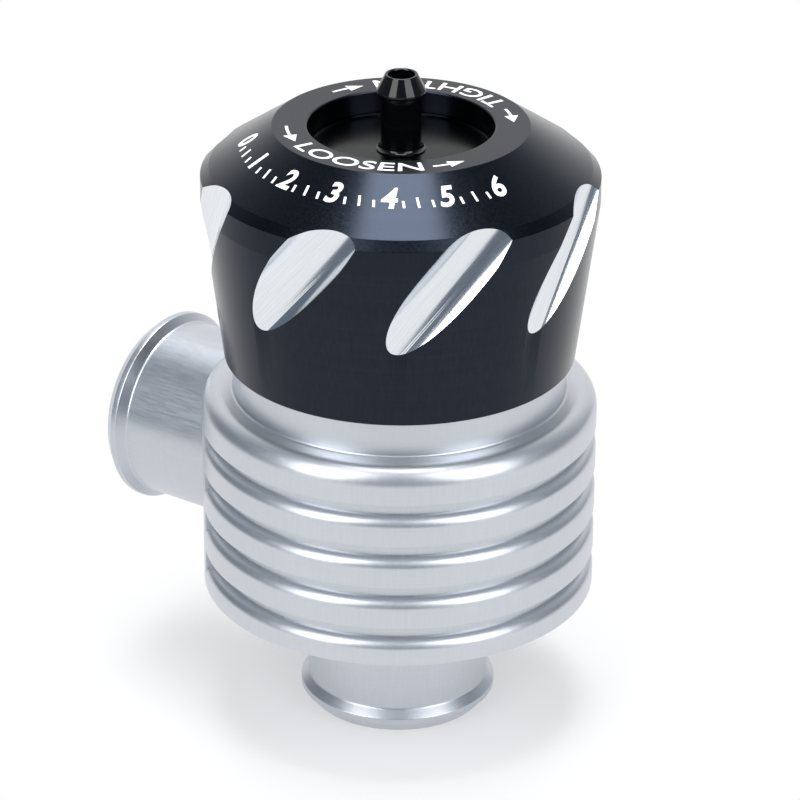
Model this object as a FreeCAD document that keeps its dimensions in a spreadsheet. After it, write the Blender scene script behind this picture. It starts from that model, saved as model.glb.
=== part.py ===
"""Blow off valve: a ribbed aluminium body with two hose stubs, and a fluted cap that sets the spring.

The origin is the centre of the inlet stub's rim, on the valve's axis. +Z runs up that axis to the
vacuum nipple, and the outlet stub points along -X. All sizes are millimetres and degrees.
"""

import FreeCAD, Part
import math
import os

import Sketcher
from FreeCAD import Placement, Rotation, Vector

# Driving dimensions

SIZES = {
    # hose stubs, the same on the inlet and the outlet
    "hose_tube_radius": 12.7,
    "hose_wall": 1.7,
    "hose_rim_inset": 0.3,
    "bead_rise": 1.1,
    "bead_lead_length": 1.6,
    "bead_land_length": 0.85,
    # ribbed body
    "inlet_stub_height": 18.8,
    "body_height": 29.6,
    "land_radius": 27.5,
    "shoulder_round": 2.7,
    "groove_count": 4,
    "groove_pitch": 6.235,
    "first_groove_top": 5.6,
    "groove_height": 3.4,
    "groove_depth": 1.5,
    "groove_corner": 0.4,
    "pad_half_angle": 46.0,
    # neck that carries the cap, set in from the body's lands
    "neck_inset": 4.35,
    "neck_root_round": 0.4,
    "plain_neck_length": 11.6,
    "thread_depth": 0.65,
    "thread_pitch": 1.5,
    "turns_down": 3.0,
    # cylinder and valve seat inside the body
    "neck_wall": 4.65,
    "floor_thickness": 3.0,
    "seat_height": 0.5,
    "seat_width": 1.5,
    # outlet stub
    "outlet_height": 14.9,
    "outlet_length": 15.0,
    "outlet_socket_depth": 7.5,
    "outlet_seal_section": 1.5,
    "outlet_seal_inset": 1.2,
    # piston and what it carries
    "piston_wall": 3.2,
    "piston_crown": 7.0,
    "piston_lift": 8.0,
    "piston_top_land": 2.2,
    "guide_ring_height": 2.5,
    "guide_ring_thickness": 1.0,
    "ring_land": 1.4,
    "face_seal_margin": 1.5,
    "face_seal_thickness": 2.0,
    "face_seal_proud": 0.2,
    "retainer_gap": 1.2,
    "retainer_thickness": 1.2,
    "screw_radius": 2.0,
    "screw_length": 7.4,
    "screw_head_radius": 3.9,
    "screw_head_height": 2.6,
    # spring
    "spring_wire": 2.0,
    "spring_side_gap": 0.5,
    "spring_turns": 7.0,
    # spring seat, the plate seen inside the cap's ring
    "seat_length": 16.8,
    "seat_plate_thickness": 4.0,
    "seat_skirt_wall": 3.0,
    "seat_boss_overlap": 0.4,
    "thrust_washer_thickness": 0.8,
    # rings of round section
    "seal_section": 1.9,
    "friction_ring_section": 1.6,
    "friction_ring_inset": 1.8,
    # adjuster cap, its land set in from the body's lands
    "cap_gap": 5.2,
    "cap_land_inset": 0.25,
    "cap_taper": 2.95,
    "cap_bottom_edge": 0.3,
    "cap_taper_height": 23.05,
    "cap_land_height": 3.45,
    "cap_chamfer_height": 1.2,
    "cone_height": 5.8,
    "cone_run": 8.55,
    "cap_ring_width": 4.8,
    "cap_ring_thickness": 3.5,
    "cap_opening_edge": 0.3,
    "cap_thread_relief": 4.8,
    "cavity_side_gap": 0.3,
    # flutes cut across the cap's edge by a leaning round cutter
    "flute_count": 8,
    "flute_cutter_radius": 4.86,
    "flute_depth": 2.45,
    "flute_lean": 40.96,
    "flute_tilt": 2.9,
    "flute_turn": 6.56,
    "flute_below_land": 0.65,
    # vacuum nipple
    "nipple_height": 10.8,
    "nipple_bore_radius": 1.8,
    "nipple_thread_radius": 3.0,
    "nipple_stem_radius": 2.77,
    "nipple_collar_flare": 0.58,
    "nipple_collar_edge": 0.2,
    "barb_radius": 3.35,
    "barb_land_length": 0.55,
    "barb_taper_length": 2.2,
    "nipple_mouth_edge": 0.2,
    "nipple_mouth_rim": 0.2,
    # clearances
    "running_clearance": 0.1,
    "fit_clearance": 0.05,
    "stop_clearance": 0.3,
}


class Size:
    """A length or angle that keeps the spreadsheet formula that it comes from."""

    def __init__(self, value, formula):
        self.value = value
        self.formula = formula

    @staticmethod
    def of(number):
        return number if isinstance(number, Size) else Size(float(number), repr(float(number)))

    def __add__(self, other):
        other = Size.of(other)
        return Size(self.value + other.value, f"({self.formula} + {other.formula})")

    def __sub__(self, other):
        other = Size.of(other)
        return Size(self.value - other.value, f"({self.formula} - {other.formula})")

    def __mul__(self, other):
        other = Size.of(other)
        return Size(self.value * other.value, f"({self.formula} * {other.formula})")

    def __truediv__(self, other):
        other = Size.of(other)
        return Size(self.value / other.value, f"({self.formula} / {other.formula})")

    def __neg__(self):
        return Size(-self.value, f"(-1 * {self.formula})")


def sine(angle):
    """Sine of an angle in degrees."""
    return Size(math.sin(math.radians(angle.value)), f"sin({angle.formula} * 1 deg)")


def cosine(angle):
    """Cosine of an angle in degrees."""
    return Size(math.cos(math.radians(angle.value)), f"cos({angle.formula} * 1 deg)")


class Dimensions:
    """The driving dimensions by name, and the heights and radii that follow from them."""

    def __init__(self, sheet_name):
        for name, number in SIZES.items():
            setattr(self, name, Size(float(number), f"{sheet_name}.{name}"))
        # radii of the hose stubs
        self.hose_bore_radius = self.hose_tube_radius - self.hose_wall
        self.bead_radius = self.hose_tube_radius + self.bead_rise
        self.rim_radius = self.hose_tube_radius - self.hose_rim_inset
        # radii that follow the body's lands, from the neck inwards
        self.neck_radius = self.land_radius - self.neck_inset
        self.neck_thread_radius = self.neck_radius - self.thread_depth
        self.cylinder_radius = self.neck_radius - self.neck_wall
        self.sliding_radius = self.cylinder_radius - self.running_clearance
        # radii that follow the body's lands, from the cap's land inwards
        self.cap_land_radius = self.land_radius - self.cap_land_inset
        self.cap_bottom_radius = self.cap_land_radius - self.cap_taper
        self.cone_bottom_radius = self.cap_land_radius - self.cap_chamfer_height
        self.cap_ring_radius = self.cone_bottom_radius - self.cone_run
        self.cap_opening_radius = self.cap_ring_radius - self.cap_ring_width
        # how far the cap and the spring seat travel down
        self.travel_down = self.thread_pitch * self.turns_down
        # heights above the inlet rim
        self.body_bottom = self.inlet_stub_height
        self.shoulder = self.body_bottom + self.body_height
        self.plain_neck_top = self.shoulder + self.plain_neck_length
        self.cylinder_floor = self.body_bottom + self.floor_thickness
        self.valve_seat = self.cylinder_floor + self.seat_height
        # outlet
        self.outlet_axis = self.body_bottom + self.outlet_height
        self.outlet_reach = self.land_radius + self.outlet_length
        self.socket_floor = self.land_radius - self.outlet_socket_depth
        # heights of the cap, and of the neck's top inside it
        self.cap_bottom = self.shoulder + self.cap_gap
        self.cap_crease = self.cap_bottom + self.cap_taper_height
        self.cap_land_top = self.cap_crease + self.cap_land_height
        self.cone_bottom = self.cap_land_top + self.cap_chamfer_height
        self.cap_top = self.cone_bottom + self.cone_height
        self.cap_underside = self.cap_top - self.cap_ring_thickness
        self.cap_thread_top = self.cap_underside - self.cap_thread_relief
        self.neck_top = self.cap_thread_top - self.travel_down - self.stop_clearance
        # spring seat
        self.seat_underside = self.cap_underside - self.seat_plate_thickness
        self.seat_rim = self.cap_underside - self.thrust_washer_thickness
        self.seat_bottom = self.cap_underside - self.seat_length
        self.seat_boss_radius = self.cap_opening_radius + self.seat_boss_overlap
        # piston, which stops short of the spring seat when both are at the ends of their travel
        self.piston_bottom = self.valve_seat + self.face_seal_proud
        self.piston_top = self.seat_bottom - self.travel_down - self.piston_lift - self.stop_clearance
        self.cup_radius = self.sliding_radius - self.piston_wall
        self.cup_floor = self.piston_bottom + self.piston_crown
        self.face_seal_radius = self.hose_bore_radius + self.seat_width + self.face_seal_margin
        self.retainer_radius = self.hose_bore_radius - self.retainer_gap


def make_sheet(doc, name):
    """Writes the driving dimensions into a spreadsheet, one named cell each."""
    sheet = doc.addObject("Spreadsheet::Sheet", name)
    for row, (alias, number) in enumerate(SIZES.items(), start=1):
        sheet.set(f"A{row}", alias)
        sheet.set(f"B{row}", str(number))
        sheet.setAlias(f"B{row}", alias)
    doc.recompute()
    return sheet


# Helpers for sketches and features


def bind(thing, path, size):
    """Binds a property to the formula of a size."""
    thing.setExpression(path, Size.of(size).formula)


def make_body(doc, name):
    """An empty body whose label is the sub-part's name."""
    body = doc.addObject("PartDesign::Body", name)
    body.Label = name
    return body


def origin_plane(body, role):
    """One of the body's own origin planes, such as XZ_Plane."""
    return next(item for item in body.Origin.OriginFeatures if item.Role == role)


def new_sketch(body, name, role):
    """A sketch that lies flat on one of the body's origin planes."""
    sketch = body.newObject("Sketcher::SketchObject", name)
    sketch.AttachmentSupport = [(origin_plane(body, role), "")]
    sketch.MapMode = "FlatFace"
    return sketch


def fix_distance(sketch, kind, edge, end, size):
    """Holds one coordinate of a point, DistanceX or DistanceY, at a size."""
    ends = (-1, 1, edge, end) if size.value >= 0 else (edge, end, -1, 1)
    positive = size if size.value >= 0 else -size
    index = sketch.addConstraint(Sketcher.Constraint(kind, *ends, positive.value))
    bind(sketch, f"Constraints[{index}]", positive)


class Corner:
    """A corner of an outline. With a centre, the edge that leads to it is a round of that centre."""

    def __init__(self, across, up, centre=None):
        self.across = Size.of(across)
        self.up = Size.of(up)
        self.centre = centre

    def point(self):
        return Vector(self.across.value, self.up.value, 0)


def round_edge(start, corner):
    """The arc from a point to a corner, and whether it runs clockwise."""
    middle = Vector(Size.of(corner.centre[0]).value, Size.of(corner.centre[1]).value, 0)
    first = start - middle
    last = corner.point() - middle
    from_angle = math.atan2(first.y, first.x)
    to_angle = math.atan2(last.y, last.x)
    clockwise = (to_angle - from_angle) % (2 * math.pi) > math.pi
    if clockwise:
        from_angle, to_angle = to_angle, from_angle
    circle = Part.Circle(middle, Vector(0, 0, 1), first.Length)
    return Part.ArcOfCircle(circle, from_angle, to_angle), clockwise


def draw_outline(sketch, corners):
    """Draws a closed outline through its corners, with every corner held by its two sizes."""
    ends = []
    first_edge = sketch.GeometryCount
    for index, corner in enumerate(corners):
        start = corners[index - 1].point()
        if corner.centre is None:
            edge = sketch.addGeometry(Part.LineSegment(start, corner.point()), False)
            ends.append((edge, 1, 2))
        else:
            arc, clockwise = round_edge(start, corner)
            edge = sketch.addGeometry(arc, False)
            ends.append((edge, 2, 1) if clockwise else (edge, 1, 2))
    for index, (edge, _, finish) in enumerate(ends):
        after, begin, _ = ends[(index + 1) % len(ends)]
        sketch.addConstraint(Sketcher.Constraint("Coincident", edge, finish, after, begin))
    for index, corner in enumerate(corners):
        edge, _, finish = ends[index]
        fix_distance(sketch, "DistanceX", edge, finish, corner.across)
        fix_distance(sketch, "DistanceY", edge, finish, corner.up)
    for index, corner in enumerate(corners):
        if corner.centre is not None:
            fix_round(sketch, first_edge + index, corners[index - 1], corner)


def fix_round(sketch, edge, before, corner):
    """Holds a round's radius: its centre lies level with, or plumb with, the corner before it."""
    centre_across = Size.of(corner.centre[0])
    radius = before.across - centre_across
    if abs(radius.value) < 1e-9:
        radius = before.up - Size.of(corner.centre[1])
    if radius.value < 0:
        radius = -radius
    index = sketch.addConstraint(Sketcher.Constraint("Radius", edge, radius.value))
    bind(sketch, f"Constraints[{index}]", radius)


def draw_circle(sketch, across, up, radius):
    """Draws a circle held by its centre and its radius."""
    across, up = Size.of(across), Size.of(up)
    middle = Vector(across.value, up.value, 0)
    edge = sketch.addGeometry(Part.Circle(middle, Vector(0, 0, 1), radius.value), False)
    fix_distance(sketch, "DistanceX", edge, 3, across)
    fix_distance(sketch, "DistanceY", edge, 3, up)
    index = sketch.addConstraint(Sketcher.Constraint("Radius", edge, radius.value))
    bind(sketch, f"Constraints[{index}]", radius)


def add_revolved(body, name, corners):
    """Adds the outline, turned once round the body's Z axis."""
    sketch = new_sketch(body, name + "_outline", "XZ_Plane")
    draw_outline(sketch, corners)
    turned = body.newObject("PartDesign::Revolution", name)
    turned.Profile = sketch
    turned.ReferenceAxis = (sketch, ["V_Axis"])
    turned.Angle = 360
    return turned


def revolved_piece(doc, name, corners):
    """A sub-part that is one turned solid."""
    body = make_body(doc, name)
    add_revolved(body, name + "_turned", corners)
    return body


def round_ring(doc, name, middle_radius, section, height):
    """A ring of round section, lying level."""
    ring = doc.addObject("Part::Torus", name)
    ring.Label = name
    bind(ring, "Radius1", middle_radius)
    bind(ring, "Radius2", section / 2)
    bind(ring, "Placement.Base.z", height)
    return ring


def rectangle(inner, outer, bottom, top):
    """Corners of a plain upright section between two radii and two heights."""
    return [Corner(inner, bottom), Corner(outer, bottom), Corner(outer, top), Corner(inner, top)]


def stub_corners(dim):
    """The outside of a hose stub, from its rim to the end of the bead's ramp, its rim at height 0."""
    land_end = dim.bead_lead_length + dim.bead_land_length
    return [
        Corner(dim.hose_bore_radius, 0),
        Corner(dim.rim_radius, 0),
        Corner(dim.bead_radius, dim.bead_lead_length),
        Corner(dim.bead_radius, land_end),
        Corner(dim.hose_tube_radius, land_end + dim.bead_rise),
    ]


# Valve body


def body_corners(dim):
    """The turned section of the body: inlet stub, ribbed part, neck, cylinder and valve seat."""
    root = dim.neck_root_round
    shoulder_edge = dim.land_radius - dim.shoulder_round
    root_centre = (dim.neck_radius + root, dim.shoulder + root)
    seat_outer = dim.hose_bore_radius + dim.seat_width
    return stub_corners(dim) + [
        Corner(dim.hose_tube_radius, dim.body_bottom),
        Corner(dim.land_radius, dim.body_bottom),
        Corner(dim.land_radius, dim.shoulder - dim.shoulder_round),
        Corner(shoulder_edge, dim.shoulder, (shoulder_edge, dim.shoulder - dim.shoulder_round)),
        Corner(dim.neck_radius + root, dim.shoulder),
        Corner(dim.neck_radius, dim.shoulder + root, root_centre),
        Corner(dim.neck_radius, dim.plain_neck_top),
        Corner(dim.neck_thread_radius, dim.plain_neck_top),
        Corner(dim.neck_thread_radius, dim.neck_top),
        Corner(dim.cylinder_radius, dim.neck_top),
        Corner(dim.cylinder_radius, dim.cylinder_floor),
        Corner(seat_outer, dim.cylinder_floor),
        Corner(seat_outer, dim.valve_seat),
        Corner(dim.hose_bore_radius, dim.valve_seat),
    ]


def groove_corners(dim):
    """Section of the lowest groove: flat on top, with a small corner inside and a round lower lip."""
    top = dim.body_bottom + dim.first_groove_top
    lip = top - dim.groove_height
    floor = dim.land_radius - dim.groove_depth
    beyond = dim.land_radius + dim.groove_depth
    corner_centre = (floor + dim.groove_corner, top - dim.groove_corner)
    return [
        Corner(beyond, lip),
        Corner(beyond, top),
        Corner(floor + dim.groove_corner, top),
        Corner(floor, top - dim.groove_corner, corner_centre),
        Corner(floor, lip + dim.groove_depth),
        Corner(dim.land_radius, lip, (floor, lip)),
    ]


def add_ribs(doc, body, dim):
    """Cuts the grooves between the ribs. They stop at the smooth pad round the outlet."""
    sketch = new_sketch(body, "groove_outline", "XZ_Plane")
    draw_outline(sketch, groove_corners(dim))
    groove = body.newObject("PartDesign::Groove", "groove")
    groove.Profile = sketch
    groove.ReferenceAxis = (sketch, ["V_Axis"])
    groove.Midplane = True
    bind(groove, "Angle", -(dim.pad_half_angle * 2) + 360)
    doc.recompute()
    grooves = body.newObject("PartDesign::LinearPattern", "grooves")
    grooves.Originals = [groove]
    grooves.Direction = (sketch, ["V_Axis"])
    grooves.Occurrences = int(SIZES["groove_count"])
    bind(grooves, "Occurrences", dim.groove_count)
    bind(grooves, "Length", dim.groove_pitch * (dim.groove_count - 1))
    body.Tip = grooves


def add_outlet_socket(body, dim):
    """Bores the outlet and the socket that its stub is pressed into, with the seal's groove."""
    beyond = dim.land_radius + dim.outlet_socket_depth
    seal_middle = dim.socket_floor + dim.outlet_seal_inset
    half_groove = dim.outlet_seal_section / 2 + dim.fit_clearance
    groove_radius = dim.hose_tube_radius + dim.outlet_seal_section + dim.fit_clearance * 2
    sketch = new_sketch(body, "outlet_socket_outline", "XZ_Plane")
    bind(sketch, "AttachmentOffset.Base.y", dim.outlet_axis)
    draw_outline(
        sketch,
        [
            Corner(0, 0),
            Corner(0, dim.hose_bore_radius),
            Corner(-dim.socket_floor, dim.hose_bore_radius),
            Corner(-dim.socket_floor, dim.hose_tube_radius),
            Corner(-(seal_middle - half_groove), dim.hose_tube_radius),
            Corner(-(seal_middle - half_groove), groove_radius),
            Corner(-(seal_middle + half_groove), groove_radius),
            Corner(-(seal_middle + half_groove), dim.hose_tube_radius),
            Corner(-beyond, dim.hose_tube_radius),
            Corner(-beyond, 0),
        ],
    )
    socket = body.newObject("PartDesign::Groove", "outlet_socket")
    socket.Profile = sketch
    socket.ReferenceAxis = (sketch, ["H_Axis"])
    socket.Angle = 360
    return socket


def friction_ring_height(dim):
    """Height of the friction ring's middle on the plain part of the neck."""
    return dim.plain_neck_top - dim.friction_ring_inset


def add_ring_groove(body, name, inner, outer, bottom, top):
    """Turns a square groove into the body, between two radii and two heights."""
    sketch = new_sketch(body, name + "_outline", "XZ_Plane")
    draw_outline(sketch, rectangle(inner, outer, bottom, top))
    groove = body.newObject("PartDesign::Groove", name)
    groove.Profile = sketch
    groove.ReferenceAxis = (sketch, ["V_Axis"])
    groove.Angle = 360


def make_valve_body(doc, dim):
    body = make_body(doc, "valve_body")
    add_revolved(body, "body_turned", body_corners(dim))
    add_ribs(doc, body, dim)
    add_outlet_socket(body, dim)
    half = dim.friction_ring_section / 2 + dim.fit_clearance
    height = friction_ring_height(dim)
    floor = dim.neck_radius + dim.fit_clearance - dim.friction_ring_section - dim.fit_clearance
    add_ring_groove(body, "friction_groove", floor, dim.neck_radius + 1, height - half, height + half)
    return body


def make_outlet_stub(doc, dim):
    """The outlet's tube, turned upright with its rim at height 0 and then laid along the X axis."""
    length = dim.outlet_reach - dim.socket_floor
    corners = stub_corners(dim) + [
        Corner(dim.hose_tube_radius, length),
        Corner(dim.hose_bore_radius, length),
    ]
    body = revolved_piece(doc, "outlet_stub", corners)
    body.Placement = Placement(Vector(-dim.outlet_reach.value, 0, 0), Rotation(Vector(0, 1, 0), 90))
    bind(body, "Placement.Base.x", -dim.outlet_reach)
    bind(body, "Placement.Base.z", dim.outlet_axis)
    return body


def make_outlet_seal(doc, dim):
    middle = dim.hose_tube_radius + dim.outlet_seal_section / 2 + dim.fit_clearance
    ring = doc.addObject("Part::Torus", "outlet_seal")
    ring.Label = "outlet_seal"
    ring.Placement = Placement(Vector(0, 0, 0), Rotation(Vector(0, 1, 0), 90))
    bind(ring, "Radius1", middle)
    bind(ring, "Radius2", dim.outlet_seal_section / 2)
    bind(ring, "Placement.Base.x", -(dim.socket_floor + dim.outlet_seal_inset))
    bind(ring, "Placement.Base.z", dim.outlet_axis)
    return ring


def make_friction_ring(doc, dim):
    middle = dim.neck_radius + dim.fit_clearance - dim.friction_ring_section / 2
    return round_ring(doc, "friction_ring", middle, dim.friction_ring_section, friction_ring_height(dim))


# Piston


def seal_floor_radius(dim):
    """Floor of a groove whose seal reaches almost to the cylinder wall."""
    return dim.cylinder_radius - dim.seal_section - dim.fit_clearance * 2


def piston_seal_height(dim):
    """Height of the middle of the piston's seal."""
    return dim.piston_top - dim.piston_top_land - dim.seal_section / 2 - dim.fit_clearance


def guide_ring_bottom(dim):
    """Height of the guide ring's lower face."""
    seal_bottom = piston_seal_height(dim) - dim.seal_section / 2 - dim.fit_clearance
    return seal_bottom - dim.ring_land - dim.guide_ring_height


def screw_hole_top(dim):
    """Height of the end of the retainer screw's hole."""
    return dim.valve_seat - dim.retainer_thickness + dim.screw_length + dim.stop_clearance


def make_piston(doc, dim):
    hole = dim.screw_radius + dim.fit_clearance
    seal_recess = dim.face_seal_radius + dim.fit_clearance
    recess_top = dim.valve_seat + dim.face_seal_thickness
    guide_floor = dim.cylinder_radius - dim.guide_ring_thickness - dim.fit_clearance * 2
    guide_low = guide_ring_bottom(dim) - dim.fit_clearance
    guide_high = guide_ring_bottom(dim) + dim.guide_ring_height + dim.fit_clearance
    seal_low = piston_seal_height(dim) - dim.seal_section / 2 - dim.fit_clearance
    seal_high = piston_seal_height(dim) + dim.seal_section / 2 + dim.fit_clearance
    corners = [
        Corner(0, screw_hole_top(dim)),
        Corner(hole, screw_hole_top(dim)),
        Corner(hole, recess_top),
        Corner(seal_recess, recess_top),
        Corner(seal_recess, dim.piston_bottom),
        Corner(dim.sliding_radius, dim.piston_bottom),
        Corner(dim.sliding_radius, guide_low),
        Corner(guide_floor, guide_low),
        Corner(guide_floor, guide_high),
        Corner(dim.sliding_radius, guide_high),
        Corner(dim.sliding_radius, seal_low),
        Corner(seal_floor_radius(dim), seal_low),
        Corner(seal_floor_radius(dim), seal_high),
        Corner(dim.sliding_radius, seal_high),
        Corner(dim.sliding_radius, dim.piston_top),
        Corner(dim.cup_radius, dim.piston_top),
        Corner(dim.cup_radius, dim.cup_floor),
        Corner(0, dim.cup_floor),
    ]
    return revolved_piece(doc, "piston", corners)


def make_piston_seal(doc, dim):
    middle = dim.cylinder_radius - dim.fit_clearance - dim.seal_section / 2
    return round_ring(doc, "piston_seal", middle, dim.seal_section, piston_seal_height(dim))


def make_guide_ring(doc, dim):
    outer = dim.cylinder_radius - dim.fit_clearance
    bottom = guide_ring_bottom(dim)
    corners = rectangle(outer - dim.guide_ring_thickness, outer, bottom, bottom + dim.guide_ring_height)
    return revolved_piece(doc, "piston_guide_ring", corners)


def make_face_seal(doc, dim):
    hole = dim.screw_radius + dim.fit_clearance
    top = dim.valve_seat + dim.face_seal_thickness
    return revolved_piece(doc, "face_seal", rectangle(hole, dim.face_seal_radius, dim.valve_seat, top))


def make_seal_retainer(doc, dim):
    hole = dim.screw_radius + dim.fit_clearance
    bottom = dim.valve_seat - dim.retainer_thickness
    return revolved_piece(doc, "seal_retainer", rectangle(hole, dim.retainer_radius, bottom, dim.valve_seat))


def make_retainer_screw(doc, dim):
    """A hexagon-headed screw: a round shank, and a head whose corners lie on the head radius."""
    body = make_body(doc, "retainer_screw")
    head_top = dim.valve_seat - dim.retainer_thickness
    sketch = new_sketch(body, "head_outline", "XY_Plane")
    bind(sketch, "AttachmentOffset.Base.z", head_top)
    sides = 6
    corners = []
    for step in range(sides):
        turn = Size.of(360 * step / sides)
        corners.append(Corner(dim.screw_head_radius * cosine(turn), dim.screw_head_radius * sine(turn)))
    draw_outline(sketch, corners)
    head = body.newObject("PartDesign::Pad", "head")
    head.Profile = sketch
    head.Reversed = True
    bind(head, "Length", dim.screw_head_height)
    shank_outline = rectangle(Size.of(0), dim.screw_radius, head_top, head_top + dim.screw_length)
    add_revolved(body, "shank", shank_outline)
    return body


# Spring


def make_spring(doc, dim):
    """A round-wire compression spring with ground ends, from the piston's cup to the spring seat."""
    body = make_body(doc, "spring")
    middle = dim.cup_radius - dim.spring_side_gap - dim.spring_wire / 2
    length = dim.seat_underside - dim.cup_floor
    section = new_sketch(body, "wire_section", "XZ_Plane")
    draw_circle(section, middle, dim.cup_floor, dim.spring_wire / 2)
    coil = body.newObject("PartDesign::AdditiveHelix", "coil")
    coil.Profile = section
    coil.ReferenceAxis = (section, ["V_Axis"])
    coil.Mode = "height-turns-angle"
    bind(coil, "Height", length)
    bind(coil, "Turns", dim.spring_turns)
    doc.recompute()
    inner = middle - dim.spring_wire
    outer = middle + dim.spring_wire
    low = (dim.cup_floor - dim.spring_wire, dim.cup_floor)
    high = (dim.seat_underside, dim.seat_underside + dim.spring_wire)
    add_ring_groove(body, "ground_bottom", inner, outer, *low)
    add_ring_groove(body, "ground_top", inner, outer, *high)
    return body


# Spring seat, its seal and the thrust washer


def spring_seat_seal_height(dim):
    """Height of the middle of the spring seat's seal."""
    return dim.seat_bottom + dim.ring_land + dim.seal_section / 2 + dim.fit_clearance


def make_spring_seat(doc, dim):
    """A plate with a skirt that slides in the neck. Its middle is seen through the cap's ring."""
    inner = dim.sliding_radius - dim.seat_skirt_wall
    seal_low = spring_seat_seal_height(dim) - dim.seal_section / 2 - dim.fit_clearance
    seal_high = spring_seat_seal_height(dim) + dim.seal_section / 2 + dim.fit_clearance
    corners = [
        Corner(dim.nipple_thread_radius, dim.seat_underside),
        Corner(inner, dim.seat_underside),
        Corner(inner, dim.seat_bottom),
        Corner(dim.sliding_radius, dim.seat_bottom),
        Corner(dim.sliding_radius, seal_low),
        Corner(seal_floor_radius(dim), seal_low),
        Corner(seal_floor_radius(dim), seal_high),
        Corner(dim.sliding_radius, seal_high),
        Corner(dim.sliding_radius, dim.seat_rim),
        Corner(dim.seat_boss_radius, dim.seat_rim),
        Corner(dim.seat_boss_radius, dim.cap_underside),
        Corner(dim.nipple_thread_radius, dim.cap_underside),
    ]
    return revolved_piece(doc, "spring_seat", corners)


def make_spring_seat_seal(doc, dim):
    middle = dim.cylinder_radius - dim.fit_clearance - dim.seal_section / 2
    return round_ring(doc, "spring_seat_seal", middle, dim.seal_section, spring_seat_seal_height(dim))


def make_thrust_washer(doc, dim):
    inner = dim.seat_boss_radius + dim.fit_clearance
    outer = dim.sliding_radius - dim.fit_clearance
    return revolved_piece(doc, "thrust_washer", rectangle(inner, outer, dim.seat_rim, dim.cap_underside))


# Adjuster cap


def cap_corners(dim):
    """The cap's turned section: taper, land, chamfer, cone and ring outside, thread and bores inside."""
    skirt_bore = dim.neck_radius + dim.running_clearance
    thread_bore = dim.neck_thread_radius + dim.fit_clearance
    thread_start = dim.plain_neck_top + dim.travel_down + dim.stop_clearance
    cavity_radius = dim.sliding_radius + dim.cavity_side_gap
    edge = dim.cap_opening_edge
    return [
        Corner(skirt_bore, dim.cap_bottom),
        Corner(dim.cap_bottom_radius - dim.cap_bottom_edge, dim.cap_bottom),
        Corner(dim.cap_bottom_radius, dim.cap_bottom + dim.cap_bottom_edge),
        Corner(dim.cap_land_radius, dim.cap_crease),
        Corner(dim.cap_land_radius, dim.cap_land_top),
        Corner(dim.cone_bottom_radius, dim.cone_bottom),
        Corner(dim.cap_ring_radius, dim.cap_top),
        Corner(dim.cap_opening_radius + edge, dim.cap_top),
        Corner(dim.cap_opening_radius, dim.cap_top - edge),
        Corner(dim.cap_opening_radius, dim.cap_underside),
        Corner(cavity_radius, dim.cap_underside),
        Corner(cavity_radius, dim.cap_thread_top),
        Corner(thread_bore, dim.cap_thread_top),
        Corner(thread_bore, thread_start),
        Corner(skirt_bore, thread_start),
    ]


def add_flutes(doc, body, dim):
    """Cuts the flutes: a straight round cutter that leans to one side and runs out on the taper."""
    middle_height = dim.cap_crease - dim.flute_below_land
    axis_radius = dim.cap_land_radius - dim.flute_depth + dim.flute_cutter_radius
    reach = dim.cap_land_radius
    across = axis_radius + reach * cosine(dim.flute_lean) * sine(dim.flute_tilt)
    along = reach * sine(dim.flute_lean)
    up = middle_height + reach * cosine(dim.flute_lean) * cosine(dim.flute_tilt)
    sketch = new_sketch(body, "cutter_outline", "XY_Plane")
    turn = f"create(<<rotation>>; 0; {dim.flute_tilt.formula}; -1 * {dim.flute_lean.formula})"
    base = f"create(<<vector>>; {across.formula}; {along.formula}; {up.formula})"
    sketch.setExpression("AttachmentOffset", f"create(<<placement>>; {base}; {turn})")
    draw_circle(sketch, 0, 0, dim.flute_cutter_radius)
    flute = body.newObject("PartDesign::Pocket", "flute")
    flute.Profile = sketch
    bind(flute, "Length", reach * 2)
    doc.recompute()
    flutes = body.newObject("PartDesign::PolarPattern", "flutes")
    flutes.Originals = [flute]
    flutes.Axis = (origin_axis(body, "Z_Axis"), [""])
    flutes.Angle = 360
    flutes.Occurrences = int(SIZES["flute_count"])
    bind(flutes, "Occurrences", dim.flute_count)
    body.Tip = flutes


def origin_axis(body, role):
    """One of the body's own origin axes, such as Z_Axis."""
    return next(item for item in body.Origin.OriginFeatures if item.Role == role)


def make_adjuster_cap(doc, dim):
    body = make_body(doc, "adjuster_cap")
    add_revolved(body, "cap_turned", cap_corners(dim))
    add_flutes(doc, body, dim)
    bind(body, "Placement.Rotation.Angle", dim.flute_turn)
    return body


# Vacuum nipple


def make_vacuum_nipple(doc, dim):
    """A barbed nipple whose thread fills the hole in the spring seat and whose collar sits on it."""
    floor = dim.cap_underside
    top = floor + dim.nipple_height
    barb_top = top - dim.barb_taper_length
    barb_bottom = barb_top - dim.barb_land_length
    collar_radius = dim.nipple_stem_radius + dim.nipple_collar_flare
    collar_edge = floor + dim.nipple_collar_edge
    collar_top = collar_edge + dim.nipple_collar_flare
    shank = dim.nipple_thread_radius - dim.fit_clearance
    mouth_radius = dim.nipple_bore_radius + dim.nipple_mouth_edge
    corners = [
        Corner(dim.nipple_bore_radius, dim.seat_underside),
        Corner(shank, dim.seat_underside),
        Corner(shank, floor),
        Corner(collar_radius, floor),
        Corner(collar_radius, collar_edge),
        Corner(dim.nipple_stem_radius, collar_top, (collar_radius, collar_top)),
        Corner(dim.nipple_stem_radius, barb_bottom),
        Corner(dim.barb_radius, barb_bottom),
        Corner(dim.barb_radius, barb_top),
        Corner(mouth_radius + dim.nipple_mouth_rim, top),
        Corner(mouth_radius, top),
        Corner(dim.nipple_bore_radius, top - dim.nipple_mouth_edge),
    ]
    return revolved_piece(doc, "vacuum_nipple", corners)


# Whole valve

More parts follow.
